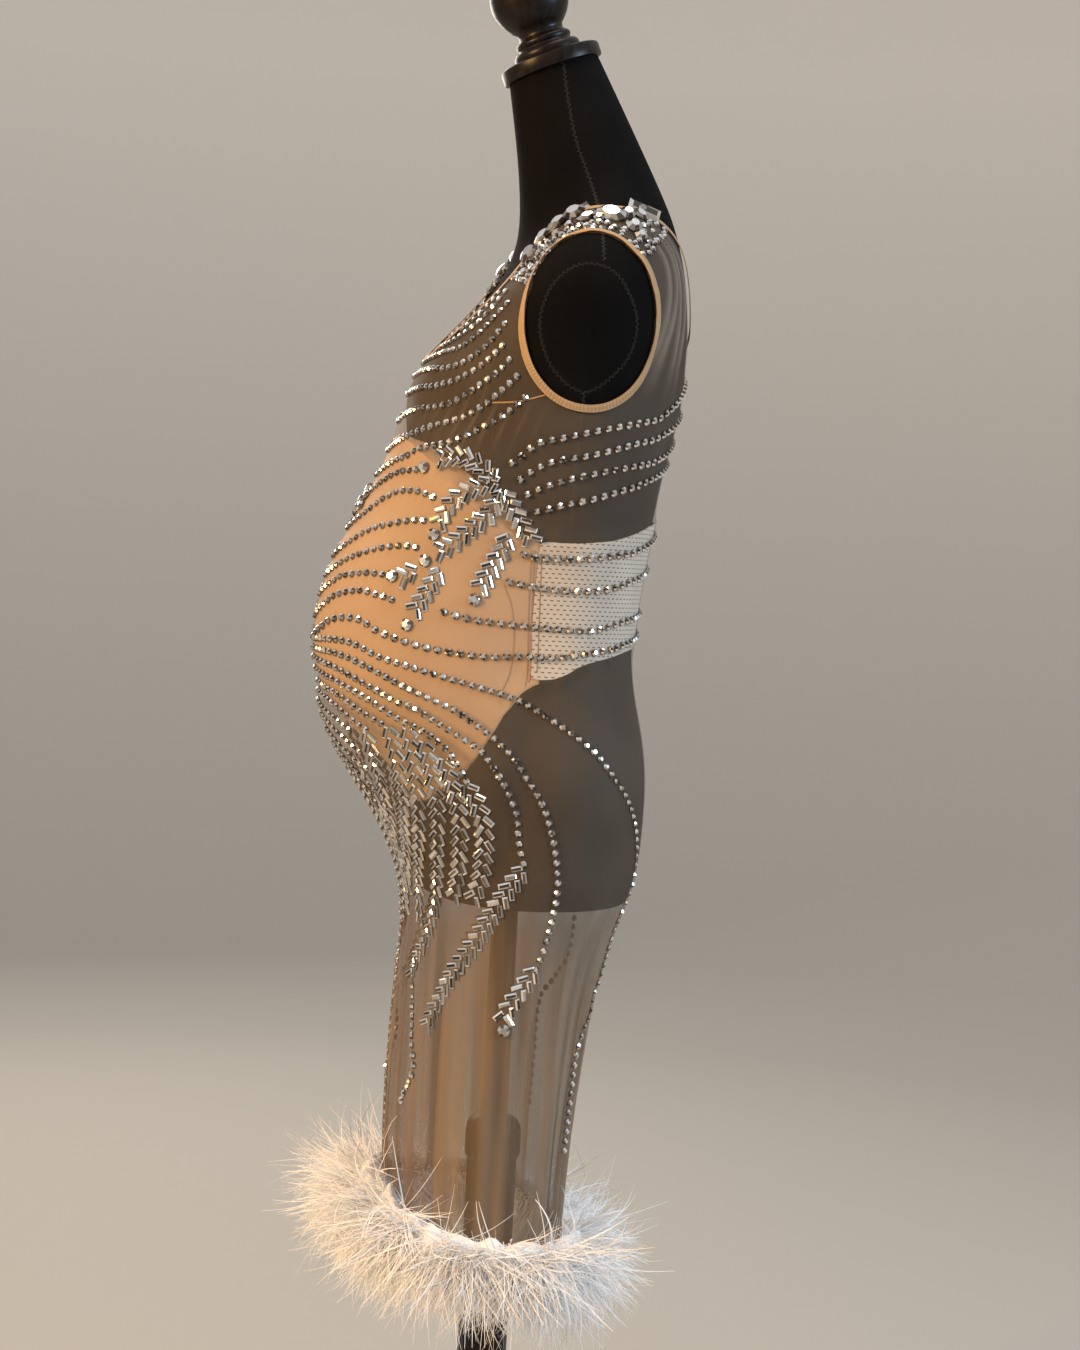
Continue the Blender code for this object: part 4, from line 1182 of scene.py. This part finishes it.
def makeRows():
    for settings in stoneRows.values():
        step, size = settings["step"] * mm, settings["size"] * mm
        for corners in settings["rows"]:
            start = corners[0][0]
            line = clothLine(corners, toMiddle=start < rowStart["front" if settings["middle"] else "outline"])
            if not settings["middle"]:
                # the row goes on round the back to its middle
                around = clothLine(corners[::-1], toMiddle=True)[::-1]
                line = around if start > rowStart["outline"] else line + around[len(clothLine(corners)):]
            for place, along in spaced(calmed(line), step, 0.5 * step):
                layStone("rows", "round", place, along, size * dice.uniform(*sizeSpread), bare=0.72 * size)


makeOrnament()
makeRows()
makeColumns()

sprays = {  # baguettes in pairs along each line; step, length and spread of a pair in mm
    "side": {"step": 9.2, "length": 11.0, "spread": 4.9, "angle": 44, "lines": [
        ([(-35, 1103), (-45, 1114), (-60, 1121), (-75, 1122), (-88, 1117)], (-98, 1110)),
        ([(-30, 1100), (-45, 1095), (-60, 1088), (-70, 1079), (-78, 1068), (-83, 1057)], (-86, 1048)),
        ([(-25, 1088), (-37, 1068), (-50, 1057), (-68, 1040), (-84, 1031)], (-93, 1023)),
        ([(-80, 1012), (-86, 1001), (-94, 986), (-102, 973)], (-107, 962)),
        ([(-103, 1012), (-113, 1006)], (-123, 1007)),
        ([(-22, 1090), (-10, 1072), (0, 1056), (6, 1047)], None),
        ([(-17, 1047), (-23, 1033), (-28, 1024), (-33, 1014), (-40, 1001)], (-45, 989))]},
    "leaves": {"step": 9.4, "length": 11.0, "spread": 4.8, "angle": 42, "lines": [
        ([(14, 735), (-5, 705), (-25, 668), (-38, 648), (-50, 628), (-57, 610), (-65, 592), (-70, 578)], None),
        ([(30, 640), (15, 615), (5, 598), (4, 588)], (5, 583))]},
    "fan": {"step": 10.4, "length": 11.0, "spread": 5.0, "angle": 36, "lines": [
        ([(-42, 812), (-32, 797), (-24, 775), (-23, 750), (-25, 725), (-32, 702)], None),
        ([(-64, 835), (-54, 808), (-47, 782), (-46, 755), (-46, 728), (-50, 704)], None),
        ([(-84, 850), (-75, 822), (-69, 792), (-67, 760), (-66, 730), (-66, 700), (-72, 670), (-82, 645), (-85, 630)],
         None),
        ([(-100, 862), (-93, 835), (-88, 802), (-85, 770), (-84, 740), (-82, 710), (-80, 682)], None),
        ([(-118, 862), (-110, 838), (-104, 810), (-100, 780), (-96, 750), (-93, 722)], None),
        ([(-138, 856), (-129, 830), (-121, 805), (-113, 780), (-107, 756)], None)]},
    "frontFan": {"step": 10.4, "length": 11.0, "spread": 5.0, "angle": 36, "bare": 5.6, "lines": [
        ([(66, 836), (55, 800), (48, 762), (44, 722)], None),
        ([(45, 826), (37, 790), (32, 755), (29, 700)], None)]},
}


sprayStones = {"stagger": 1.3, "sizes": (0.92, 1.08), "tilt": 0.13, "tip": 11.5, "start": 2}  # mm, tilt as a share


def makeSprays():
    for settings in sprays.values():
        turn = math.radians(settings["angle"])
        for corners, tip in settings["lines"]:
            line = frontLine(corners) if "bare" in settings else clothLine(corners)
            for place, along in spaced(line, settings["step"] * mm, sprayStones["start"] * mm):
                spot = gownTree.find_nearest(place)
                side = outward(spot[0], spot[1]).cross(along).normalized()
                for way in (-1, 1):
                    pointing = along * math.cos(turn) + side * (way * math.sin(turn))
                    where = place + side * (way * settings["spread"] * mm) + along * (way * sprayStones["stagger"] * mm)
                    if trays["Left"]["rows"].clear(where, settings.get("bare", 0) * mm):
                        size = settings["length"] * mm * dice.uniform(*sprayStones["sizes"])
                        layStone("sprays", "baguette", where, pointing, size, tilt=sprayStones["tilt"])
            spot = onCloth(*tip) if tip else (None, None)
            if spot[0]:
                layStone("sprays", "round", spot[0], Vector((0, 0, 1)), sprayStones["tip"] * mm)


makeSprays()

shoulder = {  # kind, place in the photo, length in mm, turn in degrees from level
    "lift": 1.5, "tilt": 0.16, "facing": 0.75, "grow": 1.14, "shift": (-1.0, 2.5), "near": 30,
    "fillTries": 500, "fillSize": (5.4, 7.4), "fillGap": 2.9, "fillLift": 0.3, "fillTilt": 0.25, "fillFacing": 0.3,
    "stones": [
        ("oval", (-32, 1287), 24, 42), ("round", (-36, 1299), 9, 0), ("navette", (-19, 1301), 21, 50),
        ("round", (-25, 1309), 10, 0), ("round", (-12, 1294), 7, 0), ("round", (-8, 1302), 7, 0),
        ("oval", (-8, 1313), 20, 52), ("round", (-14, 1322), 9, 0), ("round", (1, 1312), 7, 0),
        ("navette", (5, 1327), 22, 48), ("round", (-2, 1332), 10, 0), ("round", (8, 1317), 7, 0),
        ("round", (9, 1340), 10, 0), ("navette", (18, 1341), 22, 32), ("round", (16, 1331), 8, 0),
        ("round", (20, 1352), 10, 0), ("oval", (31, 1350), 20, 30), ("round", (27, 1339), 8, 0),
        ("baguette", (42, 1359), 17, 40), ("round", (33, 1360), 8, 0), ("navette", (43, 1347), 19, 25),
        ("round", (54, 1359), 12, 0), ("oval", (65, 1350), 25, -8), ("baguette", (73, 1362), 27, -13),
        ("round", (54, 1347), 9, 0), ("round", (80, 1352), 13, 0), ("round", (86, 1341), 14, 0),
        ("round", (93, 1333), 11, 0), ("oval", (92, 1352), 14, -40), ("baguette", (12, 1350), 11, 40)]}


def makeShoulders():
    for kind, (u, z), length, turn in shoulder["stones"]:
        spot = onCloth(u + shoulder["shift"][0], z + shoulder["shift"][1])
        if spot[0].x < shoulder["near"] * mm:  # seen past the neckline, on the other strap
            spot = onCloth(u, z)
        angle = math.radians(turn)
        along = photoRight * math.cos(angle) + Vector((0, 0, 1)) * math.sin(angle)
        layStone("shoulder", kind, spot[0], along, length * mm * shoulder["grow"], shoulder["lift"] * mm,
                 shoulder["tilt"], facing=shoulder["facing"])
    # small rounds fill what the large stones leave bare
    carrier = nodes["jewelled_shoulder_left"].data
    triangles = [tuple(p.vertices) for p in carrier.polygons if p.area > 1e-7]
    for _ in range(shoulder["fillTries"]):
        corners = [carrier.vertices[i].co for i in dice.choice(triangles)]
        weights = [dice.random() for _ in corners]
        place = sum((c * (w / sum(weights)) for c, w in zip(corners, weights)), Vector((0, 0, 0)))
        size = dice.uniform(*shoulder["fillSize"]) * mm
        spot = gownTree.find_nearest(place)
        if trays["Left"]["shoulder"].clear(spot[0], shoulder["fillGap"] * mm, pastEdges=True):
            layStone("shoulder", "round", spot[0], photoRight, size, shoulder["fillLift"] * mm,
                     shoulder["fillTilt"], facing=shoulder["fillFacing"])


makeShoulders()
for side, low in (("Left", "left"), ("Right", "right")):
    settle(trays[side]["rows"].piece(), None, "crystal")
    settle(trays[side]["sprays"].piece(), None, "crystal")
    settle(trays[side]["shoulder"].piece(), None, "crystal", "jewelled_shoulder_" + low)
print("stones laid")


# feather trim

feathers = {
    "clumps": 380, "clumpBarbs": 66, "wisps": 3600, "seed": 21, "meshes": 3, "clumpSteps": 5, "wispSteps": 11,
    # random spreads: lean and swing of a clump's barbs, swing of a wisp, and how far roots lie off the cord in mm
    "lean": 0.30, "swing": 0.28, "wispSwing": 0.5, "clumpRoot": 4.5, "wispRoot": 3, "wispRise": 12,
    "narrowing": 0.82,  # of a barb, from its root to its tip
    "space": (-0.216, 0.190, 0.222),  # front, back and sides, in m
    # by place round the hem: front, side, back; mm and degrees above level
    "height": (439, 415, 396), "drop": 5, "reach": (78, 66, 76), "lowest": (-96, -98, -102), "highest": (36, 26, 12),
    "width": 1.35, "wispWidth": 1.7, "coreRadius": (22, 16, 18), "cordOut": 6}


def roundTheHem(values, angle):
    # front, side and back values blended by the angle from the front
    front = max(0.0, math.cos(angle)) ** 1.3
    back = max(0.0, -math.cos(angle)) ** 1.3
    return values[0] * front + values[2] * back + values[1] * (1 - front - back)


def hemPoint(angle):
    # centre of the trim, just outside the gown's lower edge
    direction = Vector((math.sin(angle), -math.cos(angle), 0))
    middle = Vector((0, -0.018, roundTheHem(feathers["height"], angle) * mm))
    hit = gownTree.ray_cast(middle + direction * 0.5, -direction)
    place = hit[0] or gownTree.find_nearest(middle + direction * 0.1)[0]
    return place + direction * feathers["cordOut"] * mm - Vector((0, 0, feathers["drop"] * mm)), direction


def growBarb(track, rng, start, heading, length, width, droop, curl, steps):
    # one barb is a narrow ribbon that bends down and curls towards its tip
    verts, faces, shades = track
    across = np.cross(heading, rng.normal(0, 1, 3))
    across /= np.linalg.norm(across)
    point, line = start, []
    for k in range(steps + 1):
        line.append(point)
        heading = heading + np.array([0, 0, -1]) * droop / steps + curl * (0.4 + k / steps) / steps
        heading = heading / np.linalg.norm(heading)
        point = point + heading * length / steps
    # a barb that would leave the trim's space is drawn in towards its root
    offsets = np.array(line) - start
    front, back, sides = feathers["space"]
    fits = 1.0
    for axis, (low, high) in enumerate(((-sides, sides), (front, back))):
        far, near = offsets[:, axis].max(), offsets[:, axis].min()
        if start[axis] + far > high:
            fits = min(fits, (high - start[axis]) / far)
        if start[axis] + near < low:
            fits = min(fits, (low - start[axis]) / near)
    base = len(verts)
    for k, offset in enumerate(offsets):
        half = across * width * (1.0 - feathers["narrowing"] * (k / steps) ** 1.5) * 0.5
        verts.extend([start + offset * fits - half, start + offset * fits + half])
        # painted shade along the barb: 0 at the darker root, up to 1 at the lighter tip
        shades.extend([k / steps] * 2)
    faces.extend((c, c + 1, c + 3, c + 2) for c in range(base, base + 2 * steps, 2))


def hemFrame(angle):
    # the trim's centre, outwards, along the hem, and the lowest and highest angle of a barb
    place, direction = hemPoint(angle)
    low, high = (roundTheHem(feathers[k], angle) for k in ("lowest", "highest"))
    return np.array(place), np.array(direction), np.array((math.cos(angle), math.sin(angle), 0)), low, high


def headingOf(out, side, up, swing):
    heading = out * math.cos(up) + np.array((0, 0, math.sin(up))) + side * swing
    return heading / np.linalg.norm(heading)


def featherMesh(name, verts, faces, shades):
    piece = meshFromArrays(name, verts, faces, smooth=True)
    layer = piece.data.attributes.new("tipShade", "FLOAT", "POINT")
    layer.data.foreach_set("value", shades)
    return piece


def growClump(track, rng, clump):
    # a clump's barbs share one lean, so the trim reads as tufts
    angle = math.tau * (clump + rng.uniform(-0.5, 0.5)) / feathers["clumps"]
    place, out, side, low, high = hemFrame(angle)
    lean = math.radians(rng.uniform(low, high))
    swing = rng.normal(0, feathers["swing"])
    reach = roundTheHem(feathers["reach"], angle) * mm * rng.uniform(0.75, 1.15)
    clumpCurl = rng.normal(0, 0.6, 3)
    for _ in range(feathers["clumpBarbs"]):
        up = lean + rng.normal(0, feathers["lean"])
        heading = headingOf(out, side, up, swing + rng.normal(0, feathers["swing"]))
        start = place + rng.normal(0, feathers["clumpRoot"], 3) * mm
        length = reach * rng.uniform(0.45, 1.05)
        growBarb(track, rng, start, heading, length, feathers["width"] * mm * rng.uniform(0.6, 1.3),
                 rng.uniform(0.3, 1.1), clumpCurl + rng.normal(0, 0.8, 3), feathers["clumpSteps"])


def growWisp(track, rng):
    # a longer single barb that strays and curls
    angle = rng.uniform(0, math.tau)
    place, out, side, low, high = hemFrame(angle)
    up = math.radians(rng.uniform(low, high + feathers["wispRise"]))
    heading = headingOf(out, side, up, rng.normal(0, feathers["wispSwing"]))
    length = roundTheHem(feathers["reach"], angle) * mm * rng.uniform(1.0, 1.45)
    growBarb(track, rng, place + rng.normal(0, feathers["wispRoot"], 3) * mm, heading, length,
             feathers["wispWidth"] * mm * rng.uniform(0.7, 1.2), rng.uniform(0.2, 2.6), rng.normal(0, 2.1, 3),
             feathers["wispSteps"])


def makeFeathers():
    rng = np.random.default_rng(feathers["seed"])
    tracks = [([], [], []) for _ in range(feathers["meshes"])]
    for clump in range(feathers["clumps"]):
        growClump(tracks[clump % len(tracks)], rng, clump)
    for wisp in range(feathers["wisps"]):
        growWisp(tracks[wisp % len(tracks)], rng)
    return [featherMesh("featherBarbs%d" % (n + 1), *track) for n, track in enumerate(tracks)]


core = {"around": 200, "across": 20, "seed": 5, "lumps": 16, "shade": 0.4, "flat": 0.62, "out": 0.45, "down": 0.25}


def makeCore():
    # the soft mass close to the cord, as a lumpy ring
    around, across = core["around"], core["across"]
    rng = np.random.default_rng(core["seed"])
    lumps = [(rng.integers(3, 50), rng.uniform(0, math.tau), rng.uniform(0.01, 0.07)) for _ in range(core["lumps"])]
    verts, faces = [], []
    for i in range(around):
        angle = math.tau * i / around
        place, direction = hemPoint(angle)
        size = roundTheHem(feathers["coreRadius"], angle) * mm
        centre = place + direction * (size * core["out"]) - Vector((0, 0, core["down"] * size))
        lump = 1 + sum(a * math.sin(n * angle + p) for n, p, a in lumps)
        for j in range(across):
            turn = math.tau * j / across
            radius = size * lump * (1 + 0.12 * math.sin(5 * turn + 9 * angle) + 0.06 * math.sin(11 * turn - 23 * angle))
            out, up = math.cos(turn) * radius * core["flat"], math.sin(turn) * radius
            verts.append(centre + direction * out + Vector((0, 0, up)))
            right, above = (i + 1) % around * across, (j + 1) % across
            faces.append((i * across + j, i * across + above, right + above, right + j))
    return featherMesh("featherCore", verts, faces, [core["shade"]] * len(verts))


barbPieces = makeFeathers()
corePiece = makeCore()
settle(corePiece, "feather", "feather", "feather_trim")
for piece in barbPieces:
    settle(piece, "feather", "feather")
print("feathers grown:", sum(len(piece.data.polygons) for piece in barbPieces), "faces")
